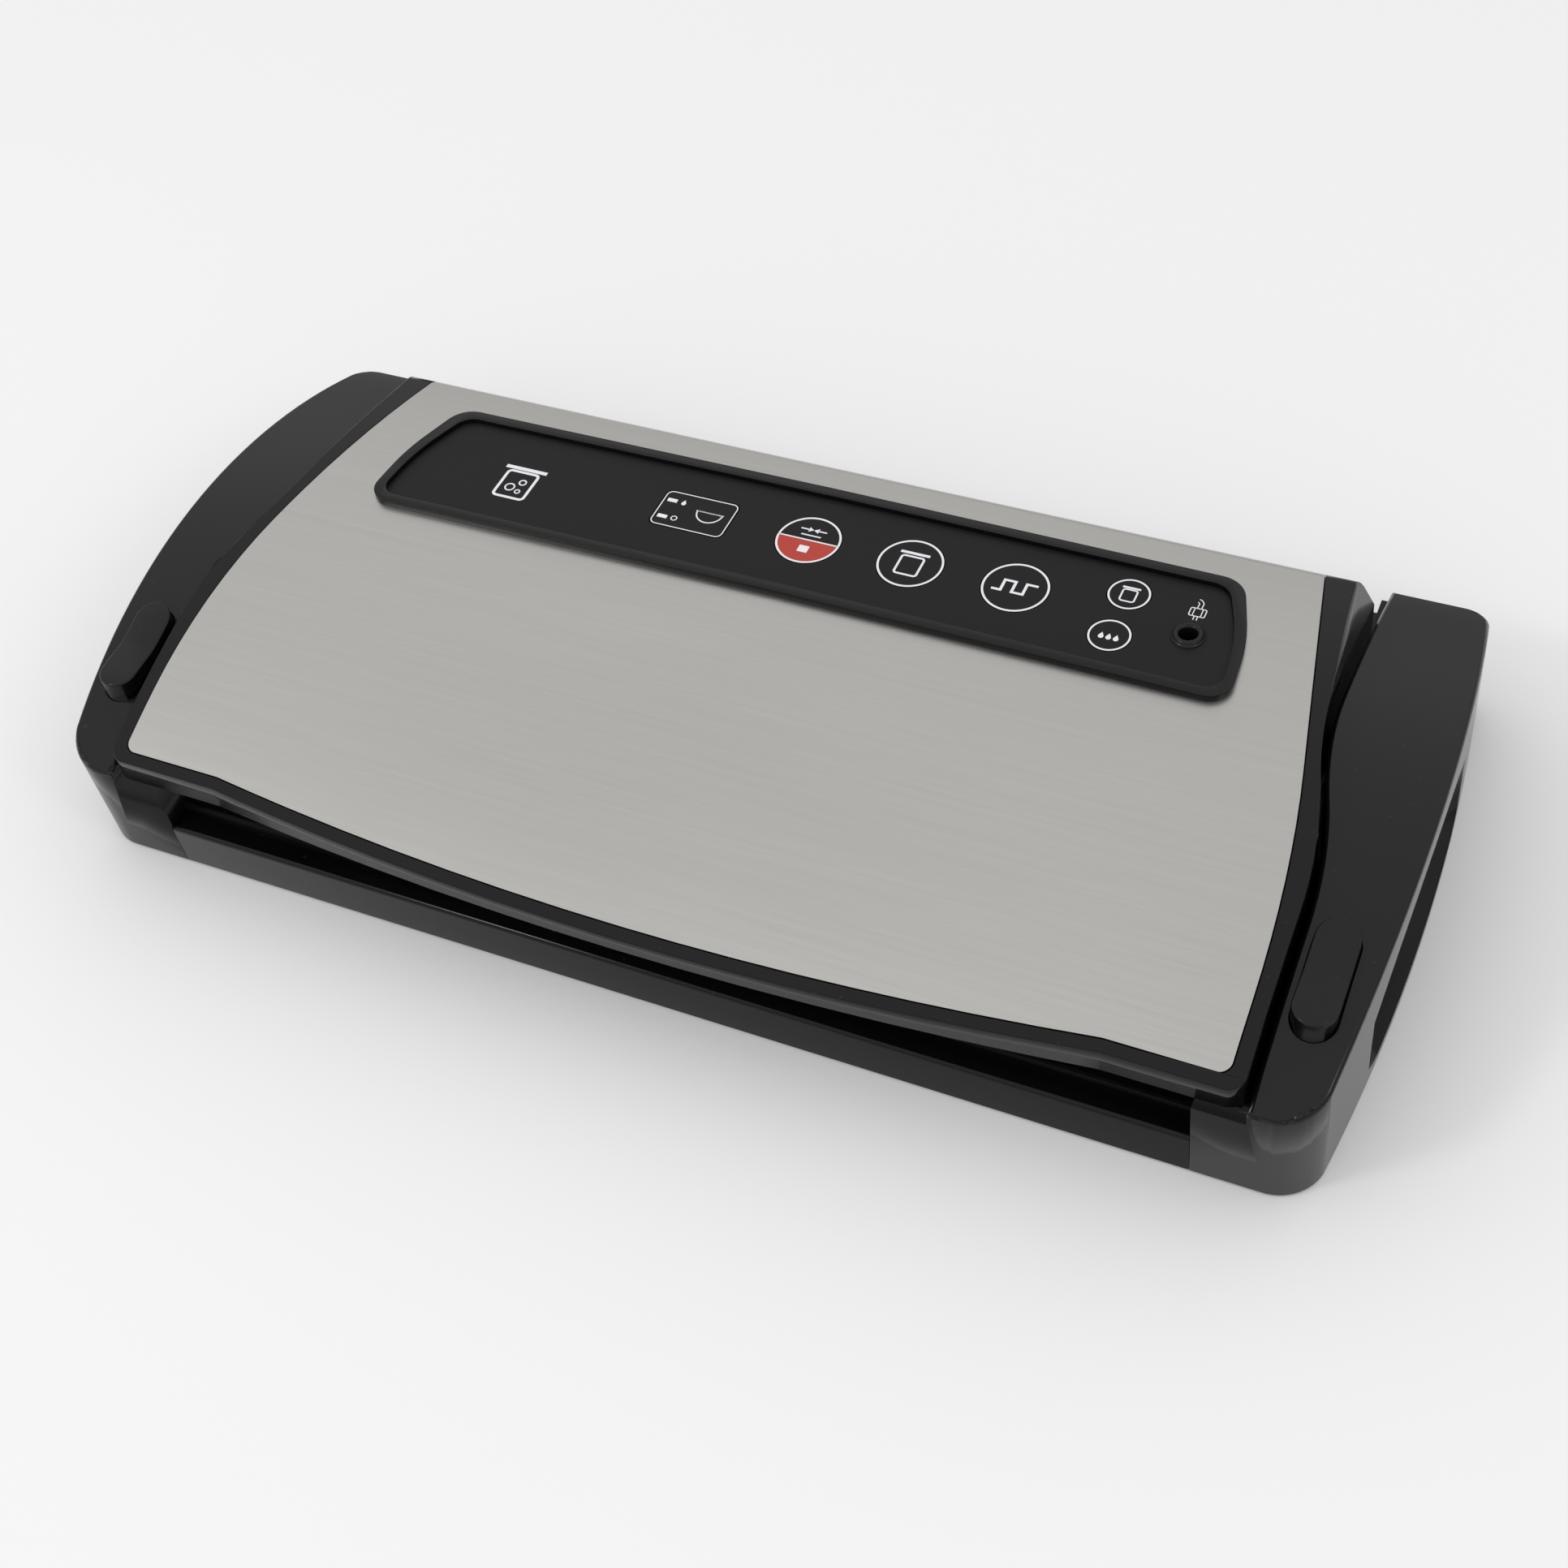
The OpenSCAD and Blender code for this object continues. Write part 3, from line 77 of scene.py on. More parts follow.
class Finish:
    """One material while it is being made."""

    def __init__(self, name, colour, roughness, **constants):
        self.material = bpy.data.materials.new(name)
        self.material.use_nodes = True
        self.tree = self.material.node_tree
        self.shader = next(n for n in self.tree.nodes if n.type == "BSDF_PRINCIPLED")
        self.shader.inputs["Base Color"].default_value = (*colour, 1)
        self.shader.inputs["Roughness"].default_value = roughness
        for socket, amount in constants.items():
            self.shader.inputs[socket.replace("_", " ")].default_value = amount

    def make(self, kind, settings, inputs, output=0):
        """Adds any node: its settings first, then the values or links of its sockets."""
        node = self.tree.nodes.new(kind)
        for key, setting in settings.items():
            if key == "stops":
                ramp = node.color_ramp
                while len(ramp.elements) < len(setting):
                    ramp.elements.new(0.5)
                for element, (at, shade) in zip(ramp.elements, setting):
                    element.position, element.color = at, (*shade, 1)
            else:
                setattr(node, key, setting)
        for key, term in inputs.items():
            if isinstance(term, Value):
                self.tree.links.new(term.socket, node.inputs[key])
            else:
                node.inputs[key].default_value = term
        return Value(self, node.outputs[output])

    def place(self, stretch=(1, 1, 1)):
        """The piece's own coordinates in metres, stretched."""
        own = self.make("ShaderNodeTexCoord", {}, {}, "Object")
        return self.make("ShaderNodeMapping", {}, {"Vector": own, "Scale": stretch})

    def noise(self, size, detail=2, stretch=(1, 1, 1)):
        """Cloudy noise from 0 to 1 with lumps of about the given size in metres."""
        return self.make("ShaderNodeTexNoise", {}, {"Vector": self.place(stretch),
                                                    "Scale": 1 / size, "Detail": detail})

    def step(self, value, low, high):
        """0 below one value, 1 above another, and smooth between them."""
        return self.make("ShaderNodeMapRange", {"interpolation_type": "SMOOTHSTEP"},
                         {"Value": value, "From Min": low, "From Max": high})

    def blend(self, mask, low, high):
        """From one colour to another; either may be a colour or a Value."""
        ends = [end if isinstance(end, Value) else (*end, 1) for end in (low, high)]
        return self.make("ShaderNodeMix", {"data_type": "RGBA"}, {"Factor": mask, 6: ends[0], 7: ends[1]}, 2)

    def feed(self, **sockets):
        for socket, term in sockets.items():
            self.tree.links.new(term.socket, self.shader.inputs[socket.replace("_", " ")])
        return self

    def bump(self, height, depth):
        """Feeds a relief of the given depth in metres and gives back the finished material."""
        self.feed(Normal=self.make("ShaderNodeBump", {}, {"Height": height, "Distance": depth,
                                                         "Strength": 1.0}))
        return self.material


def moulded(name, shade, roughness, texture, specular=0.35):
    """Black ABS: faint flow marks and finger marks in the gloss, over a fine tool texture."""
    finish = Finish(name, (shade,) * 3, roughness, Specular_IOR_Level=specular)
    smears = finish.noise(0.04, 3, (1, 0.5, 1))
    grain = finish.noise(0.0008, 2)
    dust = finish.step(finish.noise(0.0022, 1), 0.74, 0.78)
    low, high = shade * 0.75, shade * 1.25
    body = finish.blend(smears, (low, low, low), (high, high, high * 1.06))
    finish.feed(Base_Color=finish.blend(dust * 0.05, body, (0.16, 0.155, 0.15)),
                Roughness=roughness - 0.04 + 0.05 * smears + 0.03 * grain + 0.04 * dust)
    return finish.bump(grain + 0.6 * dust, texture)


def place_piece(mesh, name, material, body, replaced=()):
    """Puts a finished mesh in the scene, on its body and for its CAD nodes."""
    piece = bpy.data.objects.new(name, mesh)
    bpy.context.scene.collection.objects.link(piece)
    mesh.materials.clear()
    mesh.materials.append(material)
    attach(piece, body)
    if replaced:
        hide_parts(*replaced)
    return piece


def settle(holder):
    """A plain mesh of an object as its modifiers leave it; the object itself goes."""
    mesh = bpy.data.meshes.new_from_object(holder.evaluated_get(bpy.context.evaluated_depsgraph_get()))
    bpy.data.objects.remove(holder)
    return mesh


ROUND_SLACK, ROUND_LEAN = 0.12 * MM, 0.94


def true_normals(mesh, rounds):
    """Gives faces that lie on a large cylinder that cylinder's own normals, so long strips shade evenly.
    Each round is (axis, first centre, second centre, radius), the centre in the two other axes' order."""
    points = np.empty(len(mesh.vertices) * 3)
    mesh.vertices.foreach_get("co", points)
    points = points.reshape(-1, 3)
    normals = np.empty(len(mesh.loops) * 3)
    mesh.corner_normals.foreach_get("vector", normals)
    normals = normals.reshape(-1, 3)
    corners = np.empty(len(mesh.loops), int)
    mesh.loops.foreach_get("vertex_index", corners)
    sizes = np.empty(len(mesh.polygons), int)
    mesh.polygons.foreach_get("loop_total", sizes)
    facing = np.empty(len(mesh.polygons) * 3)
    mesh.polygons.foreach_get("normal", facing)
    facing = np.repeat(facing.reshape(-1, 3), sizes, axis=0)
    for axis, first, second, radius in rounds:
        spread = np.delete(points, axis, 1) - (first, second)
        reach = np.linalg.norm(spread, axis=1)
        out = np.insert(spread / reach[:, None], axis, 0, 1)[corners]
        lean = (facing * out).sum(1)
        on_it = (np.abs(reach - radius) < ROUND_SLACK)[corners] & (np.abs(lean) > ROUND_LEAN)
        normals[on_it] = np.sign(lean[on_it])[:, None] * out[on_it]
    mesh.normals_split_custom_set(normals.tolist())
    return mesh


WELD, TINY_EDGE, FLAT_TURN = 1e-6, 0.05 * MM, 0.005
SHARP = math.radians(35)


def softened(node, width, segments=3, rounds=(), seen=None):
    """A copy of a CAD node with its sharp edges rounded, as the moulding tool leaves them.
    Where seen is given, only convex edges whose two ends it accepts are rounded, at their full width.
    Elsewhere no rounding may overlap the next, so on a mesh with short edges hardly any of it shows."""
    shell = bmesh.new()
    shell.from_mesh(frame["nodes"][node].data)
    bmesh.ops.remove_doubles(shell, verts=shell.verts, dist=WELD)
    if seen:
        bmesh.ops.dissolve_degenerate(shell, dist=TINY_EDGE, edges=shell.edges)
    bmesh.ops.dissolve_limit(shell, angle_limit=FLAT_TURN, verts=shell.verts, edges=shell.edges)
    if seen:
        weights = shell.edges.layers.float.new("bevel_weight_edge")
        for edge in shell.edges:
            if (len(edge.link_faces) == 2 and edge.is_convex and edge.calc_face_angle(0) > SHARP
                    and all(seen(point.co) for point in edge.verts)):
                edge[weights] = 1
    mesh = bpy.data.meshes.new(node + "_soft")
    shell.to_mesh(mesh)
    shell.free()
    mesh.shade_smooth()
    holder = bpy.data.objects.new(node + "_holder", mesh)
    bpy.context.scene.collection.objects.link(holder)
    bevel = holder.modifiers.new("edges", "BEVEL")
    bevel.width, bevel.segments, bevel.limit_method = width, segments, "WEIGHT" if seen else "ANGLE"
    bevel.angle_limit = SHARP
    bevel.use_clamp_overlap = not seen
    bevel.harden_normals = True
    return true_normals(settle(holder), rounds)


ROUND_FIT = 0.06 * MM


def on_round(axis, first, second, radius):
    """Tells whether a point lies on a large cylinder, such as the top of a pod or of the lid."""
    def test(point):
        across = [point[i] for i in range(3) if i != axis]
        return abs(math.hypot(across[0] - first, across[1] - second) - radius) < ROUND_FIT
    return test


POD_MID_Y, POD_OUT, POD_SIDE_R = 0.0034, 0.2005, 0.63117
POD_TOP = (0, POD_MID_Y, -0.18466, 0.24116)
POD_EDGE = 1.6 * MM
SOCKET_ROOM = 0.001
pod_black = moulded("pod_black_half_gloss", 0.0045, 0.18, 0.000006, 0.28)
on_pod_top = on_round(*POD_TOP)
button_low, button_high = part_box("right_button")


def pod_rim(point):
    """The outer edge of a pod's top, clear of the release button's socket."""
    across = button_low[0] - SOCKET_ROOM < abs(point.x) < button_high[0] + SOCKET_ROOM
    along = button_low[1] - SOCKET_ROOM < point.y < button_high[1] + SOCKET_ROOM
    return on_pod_top(point) and not (across and along)


for side, hand in (("left", -1), ("right", 1)):
    outer = (2, hand * (POD_OUT - POD_SIDE_R), POD_MID_Y, POD_SIDE_R)
    place_piece(softened(side + "_pod", POD_EDGE, 5, rounds=(POD_TOP, outer), seen=pod_rim),
                side + "_pod_shell", pod_black, "base", (side + "_pod",))


# ---------- Release buttons ----------
# Two black ABS push buttons stand in sockets in the pods, over a coil spring and a ramp.
# They are moulded duller than the pods, with a soft edge all round.

button_black = moulded("button_black_satin", 0.004, 0.27, 0.00001, 0.28)
BUTTON_CROWN, BUTTON_EDGE = 0.0525, 0.7 * MM


def button_rim(point):
    return point.z > BUTTON_CROWN


for side in ("left", "right"):
    place_piece(softened(side + "_button", BUTTON_EDGE, 4, seen=button_rim), side + "_release", button_black,
                side + "_button_body", (side + "_button",))


def coat(material, *nodes):
    """Gives CAD nodes, whose shape is right as it is, their real finish."""
    for node in nodes:
        surface = frame["nodes"][node].data
        surface.materials.clear()
        surface.materials.append(material)


METAL_RELIEF = 0.000004


def metal(name, colour, roughness, size, stretch=(1, 1, 1)):
    """Bare or plated metal: drawing marks, small dull patches and a little colour drift."""
    finish = Finish(name, colour, roughness, Metallic=1.0)
    marks = finish.noise(size, 3, stretch)
    patches = finish.noise(0.012, 2)
    finish.feed(Base_Color=finish.blend(patches, tuple(0.86 * c for c in colour), colour),
                Roughness=roughness - 0.05 + 0.14 * marks + 0.06 * patches)
    return finish.bump(marks, METAL_RELIEF)


spring_wire = metal("zinc_spring_wire", (0.62, 0.62, 0.64), 0.28, 0.0006)
coat(spring_wire, "left_button_spring", "right_button_spring")

nylon = Finish("natural_nylon", (0.74, 0.73, 0.69), 0.42, Subsurface_Weight=0.05)
nylon_flow = nylon.noise(0.006, 2)
nylon.feed(Base_Color=nylon.blend(nylon_flow, (0.66, 0.65, 0.60), (0.78, 0.77, 0.73)),
           Roughness=0.36 + 0.14 * nylon_flow)
natural_nylon = nylon.bump(nylon.noise(0.0005, 2), 0.00002)
coat(natural_nylon, "left_catch", "right_catch", "left_hook", "right_hook")
coat(moulded("guide_dark_grey", 0.045, 0.55, 0.00004), "left_latch_guide", "right_latch_guide")


# ---------- Front rail and deck ----------
# The rail closes the front of the base under the bag slot; the deck is one dull moulding behind it.
# Both are black ABS. The deck carries the sunken well, the raised rear and the hinge ears.

rail_black = moulded("rail_black_half_gloss", 0.003, 0.16, 0.000006, 0.22)
place_piece(softened("front_bar", 0.5 * MM, 3), "front_rail", rail_black, "base",
            ("front_bar",))
deck_black = moulded("deck_black_dull", 0.006, 0.45, 0.00003, 0.25)
place_piece(softened("deck", 0.5 * MM, 2), "deck_moulding", deck_black, "base", ("deck",))


# ---------- Sealing well ----------
# A pale vacuum trough sits in a foam gasket ring; ahead of it the heating strip lies on a
# pressed board under a brown coated-cloth tape. The lid carries a matching ring and a red press bar.

foam = Finish("gasket_foam", (0.035, 0.035, 0.037), 0.85)
cells = foam.make("ShaderNodeTexVoronoi", {"feature": "DISTANCE_TO_EDGE"},
                  {"Vector": foam.place(), "Scale": 1 / (0.7 * MM)})
foam.feed(Base_Color=foam.blend(foam.step(cells, 0.02, 0.25), (0.016,) * 3, (0.05, 0.05, 0.053)))
foam_black = foam.bump(foam.step(cells, 0.0, 0.35), 0.00025)
for ring, body in (("lower_gasket", "base"), ("upper_gasket", "lid")):
    place_piece(softened(ring, 0.6 * MM, 3), ring + "_ring", foam_black, body, (ring,))
trough_white = moulded("trough_grey_white", 0.55, 0.35, 0.00001, 0.5)
place_piece(softened("trough", 0.35 * MM, 2), "vacuum_trough", trough_white, "base",
            ("trough",))

board = Finish("pressed_board", (0.17, 0.09, 0.045), 0.7)
fibres = board.noise(0.0012, 3, (0.3, 1, 1))
board.feed(Base_Color=board.blend(fibres, (0.10, 0.05, 0.025), (0.24, 0.13, 0.07)))
coat(board.bump(fibres, 0.00003), "heater_base")
coat(metal("heating_strip_alloy", (0.5, 0.47, 0.43), 0.3, 0.0004, (0.02, 1, 1)), "heating_strip")

tape = Finish("coated_cloth_tape", (0.30, 0.17, 0.08), 0.38)
WEAVE = 2.6 * MM
warp = tape.make("ShaderNodeTexWave", {"wave_type": "BANDS", "bands_direction": "X"},
                 {"Vector": tape.place(), "Scale": 1 / WEAVE})
weft = tape.make("ShaderNodeTexWave", {"wave_type": "BANDS", "bands_direction": "Y"},
                 {"Vector": tape.place(), "Scale": 1 / WEAVE})
weave = warp * weft + 0.5 * tape.noise(0.004, 2)
tape.feed(Base_Color=tape.blend(weave, (0.20, 0.10, 0.045), (0.42, 0.26, 0.13)))
coat(tape.bump(weave, 0.00004), "nonstick_tape")

silicone = Finish("red_silicone", (0.55, 0.07, 0.035), 0.5)
bloom = silicone.noise(0.009, 3)
silicone.feed(Base_Color=silicone.blend(bloom, (0.46, 0.05, 0.025), (0.62, 0.11, 0.06)),
              Roughness=0.42 + 0.2 * bloom)
place_piece(softened("press_bar", 0.7 * MM, 3), "press_bar_silicone",
            silicone.bump(silicone.noise(0.0006, 2), 0.00003), "lid", ("press_bar",))
plated = metal("plated_steel", (0.55, 0.56, 0.58), 0.33, 0.0008, (0.1, 1, 1))
coat(plated, "press_bar_holder", "pump_bracket", "hinge_pins")


# ---------- Bottom plate, feet and screws ----------
# The plate is black ABS with vent slots. Soft rubber feet plug into it, and self-tapping
# cross-head screws hold the deck and the pods down; smaller ones hold the lid's inner pan.

plate_black = moulded("plate_black_dull", 0.016, 0.52, 0.00006)
place_piece(softened("bottom_plate", 0.4 * MM, 2), "bottom_plate_moulding", plate_black, "base",
            ("bottom_plate",))

rubber = Finish("foot_rubber", (0.035, 0.035, 0.036), 0.8)
scuff = rubber.noise(0.0015, 3)
rubber.feed(Base_Color=rubber.blend(scuff, (0.022,) * 3, (0.055, 0.054, 0.052)),
            Roughness=0.7 + 0.2 * scuff)
foot_rubber = rubber.bump(scuff, 0.00005)
place_piece(softened("feet", 0.35 * MM, 3), "rubber_feet", foot_rubber, "base", ("feet",))
coat(foot_rubber, "rest_pegs")


def loose_parts(node):
    """Lowest and highest corner of each separate solid of a CAD node."""
    shell = bmesh.new()
    shell.from_mesh(frame["nodes"][node].data)
    bmesh.ops.remove_doubles(shell, verts=shell.verts, dist=WELD)
    left, found = set(shell.verts), []
    while left:
        group, queue = [], [left.pop()]
        while queue:
            point = queue.pop()
            group.append(point.co.copy())
            for edge in point.link_edges:
                other = edge.other_vert(point)
                if other in left:
                    left.remove(other)
                    queue.append(other)
        found.append((Vector(map(min, zip(*group))), Vector(map(max, zip(*group)))))
    shell.free()
    return sorted(found, key=lambda ends: tuple(ends[0]))


def screw_tree(material):
    """Cross-head screws, heads down, one on each point: a domed head, a shank and a ring of threads."""
    tree = bpy.data.node_groups.new("cross_head_screws", "GeometryNodeTree")
    tree.interface.new_socket("Geometry", in_out="OUTPUT", socket_type="NodeSocketGeometry")
    tree.interface.new_socket("Seats", in_out="INPUT", socket_type="NodeSocketGeometry")
    for label in ("Head radius", "Head height", "Shank radius", "Length", "Pitch"):
        tree.interface.new_socket(label, in_out="INPUT", socket_type="NodeSocketFloat")
    entry, leave = tree.nodes.new("NodeGroupInput"), tree.nodes.new("NodeGroupOutput")

    def add(kind, settings=None, **sockets):
        node = tree.nodes.new(kind)
        for key, setting in (settings or {}).items():
            setattr(node, key, setting)
        for key, term in sockets.items():
            socket = node.inputs[int(key[1:])] if key[0] == "i" and key[1:].isdigit() else \
                node.inputs[key.replace("_", " ")]
            if isinstance(term, bpy.types.NodeSocket):
                tree.links.new(term, socket)
            else:
                socket.default_value = term
        return node.outputs[0]

    def maths(operation, first, second):
        return add("ShaderNodeMath", {"operation": operation}, i0=first, i1=second)

    def up(geometry, height):
        return add("GeometryNodeTransform", Geometry=geometry,
                   Translation=add("ShaderNodeCombineXYZ", Z=height))

    head_r, head_h = entry.outputs["Head radius"], entry.outputs["Head height"]
    shank_r, length, pitch = entry.outputs["Shank radius"], entry.outputs["Length"], entry.outputs["Pitch"]
    rim_h = maths("MULTIPLY", head_h, 0.55)
    rim = up(add("GeometryNodeMeshCylinder", Vertices=24, Radius=head_r, Depth=rim_h),
             maths("SUBTRACT", head_h, maths("MULTIPLY", rim_h, 0.5)))
    dome_h = maths("SUBTRACT", head_h, rim_h)
    dome = add("GeometryNodeMeshCone", Vertices=24, Radius_Top=maths("MULTIPLY", head_r, 0.7),
               Radius_Bottom=head_r, Depth=dome_h)
    dome = up(add("GeometryNodeTransform", Geometry=dome, Rotation=(math.pi, 0, 0)), dome_h)
    slot_w, slot_l = maths("MULTIPLY", head_r, 0.26), maths("MULTIPLY", head_r, 1.25)
    slot_h = maths("MULTIPLY", head_h, 0.6)
    arms = [add("GeometryNodeMeshCube",
                Size=add("ShaderNodeCombineXYZ", X=a, Y=b, Z=maths("MULTIPLY", slot_h, 2.0)))
            for a, b in ((slot_l, slot_w), (slot_w, slot_l))]
    solid = add("GeometryNodeJoinGeometry", Geometry=rim)
    tree.links.new(dome, solid.node.inputs[0])
    cut = tree.nodes.new("GeometryNodeMeshBoolean")
    cut.operation, cut.solver = "DIFFERENCE", "EXACT"
    tree.links.new(solid, cut.inputs[0])
    for arm in arms:
        tree.links.new(arm, cut.inputs[1])
    shank_l = maths("SUBTRACT", length, head_h)
    root_r = maths("MULTIPLY", shank_r, 0.78)
    core = up(add("GeometryNodeMeshCylinder", Vertices=16, Radius=root_r, Depth=shank_l),
              maths("ADD", head_h, maths("MULTIPLY", shank_l, 0.5)))
    thread = add("GeometryNodeMeshCone", Vertices=16, Radius_Top=shank_r,
                 Radius_Bottom=root_r, Depth=maths("MULTIPLY", pitch, 0.7))
    count = add("ShaderNodeMath", {"operation": "FLOOR"}, i0=maths("DIVIDE", shank_l, pitch))
    line = add("GeometryNodeMeshLine", Count=count, Start_Location=add("ShaderNodeCombineXYZ", Z=head_h),
               Offset=add("ShaderNodeCombineXYZ", Z=pitch))
    threads = add("GeometryNodeRealizeInstances",
                  Geometry=add("GeometryNodeInstanceOnPoints", Points=line, Instance=thread))
    whole = tree.nodes.new("GeometryNodeJoinGeometry")
    for part in (cut.outputs[0], core, threads):
        tree.links.new(part, whole.inputs[0])
    placed = add("GeometryNodeRealizeInstances",
                 Geometry=add("GeometryNodeInstanceOnPoints", Points=entry.outputs["Seats"],
                              Instance=whole.outputs[0]))
    tree.links.new(add("GeometryNodeSetMaterial", Geometry=placed, Material=material), leave.inputs[0])
    return tree


bright_zinc = metal("bright_zinc", (0.66, 0.66, 0.68), 0.25, 0.0005)
screws = screw_tree(bright_zinc)


def drive_screws(node, body, head_r, head_h, shank_r, pitch):
    """Puts a real screw in the place of each plain one of a CAD node."""
    ends = loose_parts(node)
    seats = bpy.data.meshes.new(node + "_seats")
    seats.from_pydata([((low.x + high.x) / 2, (low.y + high.y) / 2, low.z) for low, high in ends], [], [])
    holder = bpy.data.objects.new(node + "_seats", seats)
    bpy.context.scene.collection.objects.link(holder)
    drive = holder.modifiers.new("screws", "NODES")
    drive.node_group = screws
    wanted = {"Head radius": head_r, "Head height": head_h, "Shank radius": shank_r,
              "Length": max(high.z - low.z for low, high in ends), "Pitch": pitch}
    for item in screws.interface.items_tree:
        if item.in_out == "INPUT" and item.name in wanted:
            drive[item.identifier] = wanted[item.name]
    place_piece(settle(holder), node + "_driven", bright_zinc, body, (node,))


drive_screws("plate_screws", "base", 2.7 * MM, 1.8 * MM, 1.45 * MM, 1.1 * MM)
drive_screws("lid_screws", "lid", 2.55 * MM, 0.95 * MM, 1.35 * MM, 0.9 * MM)


# ---------- Pump, tubes and boards ----------
# The pump's glass-filled head is driven by a small can motor in a steel saddle; milky silicone
# tube joins it to the trough. The mains board and its transformer stand at the left.

coat(moulded("pump_glass_filled", 0.03, 0.6, 0.00008), "pump_head", "lid_switch")
coat(metal("motor_can", (0.6, 0.6, 0.62), 0.25, 0.0006, (0.05, 1, 1)), "pump_motor")

winding = Finish("laminations_and_copper", (0.5, 0.28, 0.15), 0.35, Metallic=1.0)
layers = winding.make("ShaderNodeTexWave", {"wave_type": "BANDS", "bands_direction": "X"},
                      {"Vector": winding.place(), "Scale": 1 / (3 * MM), "Distortion": 0.6})
winding.feed(Base_Color=winding.blend(layers, (0.30, 0.29, 0.29), (0.62, 0.33, 0.17)))
coat(winding.bump(layers, 0.0001), "motor_rotor")

milky = Finish("milky_silicone_tube", (0.72, 0.72, 0.66), 0.32, Subsurface_Weight=0.15)
clouds = milky.noise(0.005, 2)
milky.feed(Base_Color=milky.blend(clouds, (0.62, 0.62, 0.56), (0.78, 0.78, 0.73)),
           Roughness=0.26 + 0.14 * clouds)
coat(milky.bump(clouds, 0.00003), "suction_tube", "port_tube")

circuit = Finish("circuit_board", (0.02, 0.16, 0.07), 0.32)
TRACK_GRID, PAD_GRID = 5 * MM, 3.4 * MM
runs = circuit.make("ShaderNodeTexBrick", {}, {"Vector": circuit.place(), "Scale": 1 / TRACK_GRID,
                                               "Mortar Size": 0.06, "Color1": (0, 0, 0, 1),
                                               "Color2": (0, 0, 0, 1), "Mortar": (1, 1, 1, 1)})
dots = circuit.make("ShaderNodeTexVoronoi", {}, {"Vector": circuit.place(), "Scale": 1 / PAD_GRID})
pads = circuit.step(dots, 0.2, 0.16)
lines = circuit.blend(runs * 0.6, (0.012, 0.13, 0.055), (0.04, 0.26, 0.12))
circuit.feed(Base_Color=circuit.blend(pads, lines, (0.55, 0.55, 0.52)), Roughness=0.36 - 0.12 * pads)
coat(circuit.bump(runs + pads, 0.00005), "power_board", "control_board")

wrap = Finish("yellow_winding_tape", (0.66, 0.46, 0.06), 0.4)
turns = wrap.make("ShaderNodeTexWave", {"wave_type": "BANDS", "bands_direction": "Z"},
                  {"Vector": wrap.place(), "Scale": 1 / (9 * MM)})
wrap.feed(Base_Color=wrap.blend(turns, (0.50, 0.33, 0.035), (0.72, 0.52, 0.09)))
coat(wrap.bump(turns, 0.00006), "transformer")
coat(deck_black, "power_inlet")


# ---------- Lid moulding and steel ----------
# One black ABS moulding forms the lid's band, skirt and flanks. A brushed stainless sheet lies
# in a seat in its top, and a ribbed inner pan is screwed in from below.

LID_TOP = (0, 0.0206, -0.25985, 0.32435)
LID_EDGE = 0.5 * MM
lid_black = moulded("lid_black_half_gloss", 0.003, 0.16, 0.000006, 0.24)
place_piece(softened("lid_frame", LID_EDGE, 3, rounds=(LID_TOP,), seen=on_round(*LID_TOP)), "lid_moulding",
            lid_black, "lid", ("lid_frame",))

steel = Finish("brushed_stainless", (0.5, 0.5, 0.49), 0.34, Metallic=1.0, Anisotropic=0.35)
hairlines = steel.noise(0.00022, 3, (0.008, 1, 1))
broad = steel.noise(0.0012, 2, (0.01, 1, 1))
tone = steel.noise(0.07, 2, (0.5, 1, 1))
shade = 0.55 * hairlines + 0.3 * broad + 0.15 * tone
steel.feed(Base_Color=steel.blend(shade, (0.37, 0.365, 0.35), (0.50, 0.492, 0.475)),
           Roughness=0.27 + 0.14 * hairlines + 0.03 * tone)
place_piece(softened("steel_cover", 0.2 * MM, 2, rounds=(LID_TOP,)), "steel_sheet",
            steel.bump(hairlines + 0.4 * broad, 0.000006), "lid", ("steel_cover",))
place_piece(softened("lid_inner", 0.6 * MM, 2), "lid_inner_pan", deck_black, "lid",
            ("lid_inner",))


# ---------- Control panel ----------
# A rounded bead of black ABS frames a satin printed film. Six keys are domes under the film, cut free
# round their edges; rings and plain signs are screen-printed on them. Two lamps show through one key.

place_piece(softened("panel_rim", 1.2 * MM, 4), "panel_bead", lid_black, "lid", ("panel_rim",))

film = Finish("charcoal_panel_film", (0.014, 0.014, 0.015), 0.45, Specular_IOR_Level=0.17)
film_grain = film.noise(0.0005, 2)
film_haze = film.noise(0.03, 3)
film_tone = 0.5 * film_haze + 0.5 * film_grain
film.feed(Base_Color=film.blend(film_tone, (0.006, 0.006, 0.0065), (0.0095, 0.0095, 0.0105)),
          Roughness=0.38 + 0.1 * film_haze + 0.1 * film_grain)
panel_film = film.bump(film_grain, 0.00002)
KEYS = ("vacuum", "seal", "pulse", "canister", "marinate", "food")
coat(panel_film, "panel_face", *("key_" + key for key in KEYS))

lamp = Finish("lamp_diffuser", (0.8, 0.8, 0.78), 0.35)
lamp.feed(Base_Color=lamp.blend(lamp.noise(0.0015, 2), (0.72, 0.72, 0.70), (0.86, 0.86, 0.84)))
coat(lamp.bump(lamp.noise(0.0004, 1), 0.00001), "food_lamps")

panel_up = -Vector(next(j["axis"] for j in frame["joints"] if j["name"] == "key_seal_press")).normalized()
panel_right = Vector((1, 0, 0))
panel_back = panel_up.cross(panel_right)


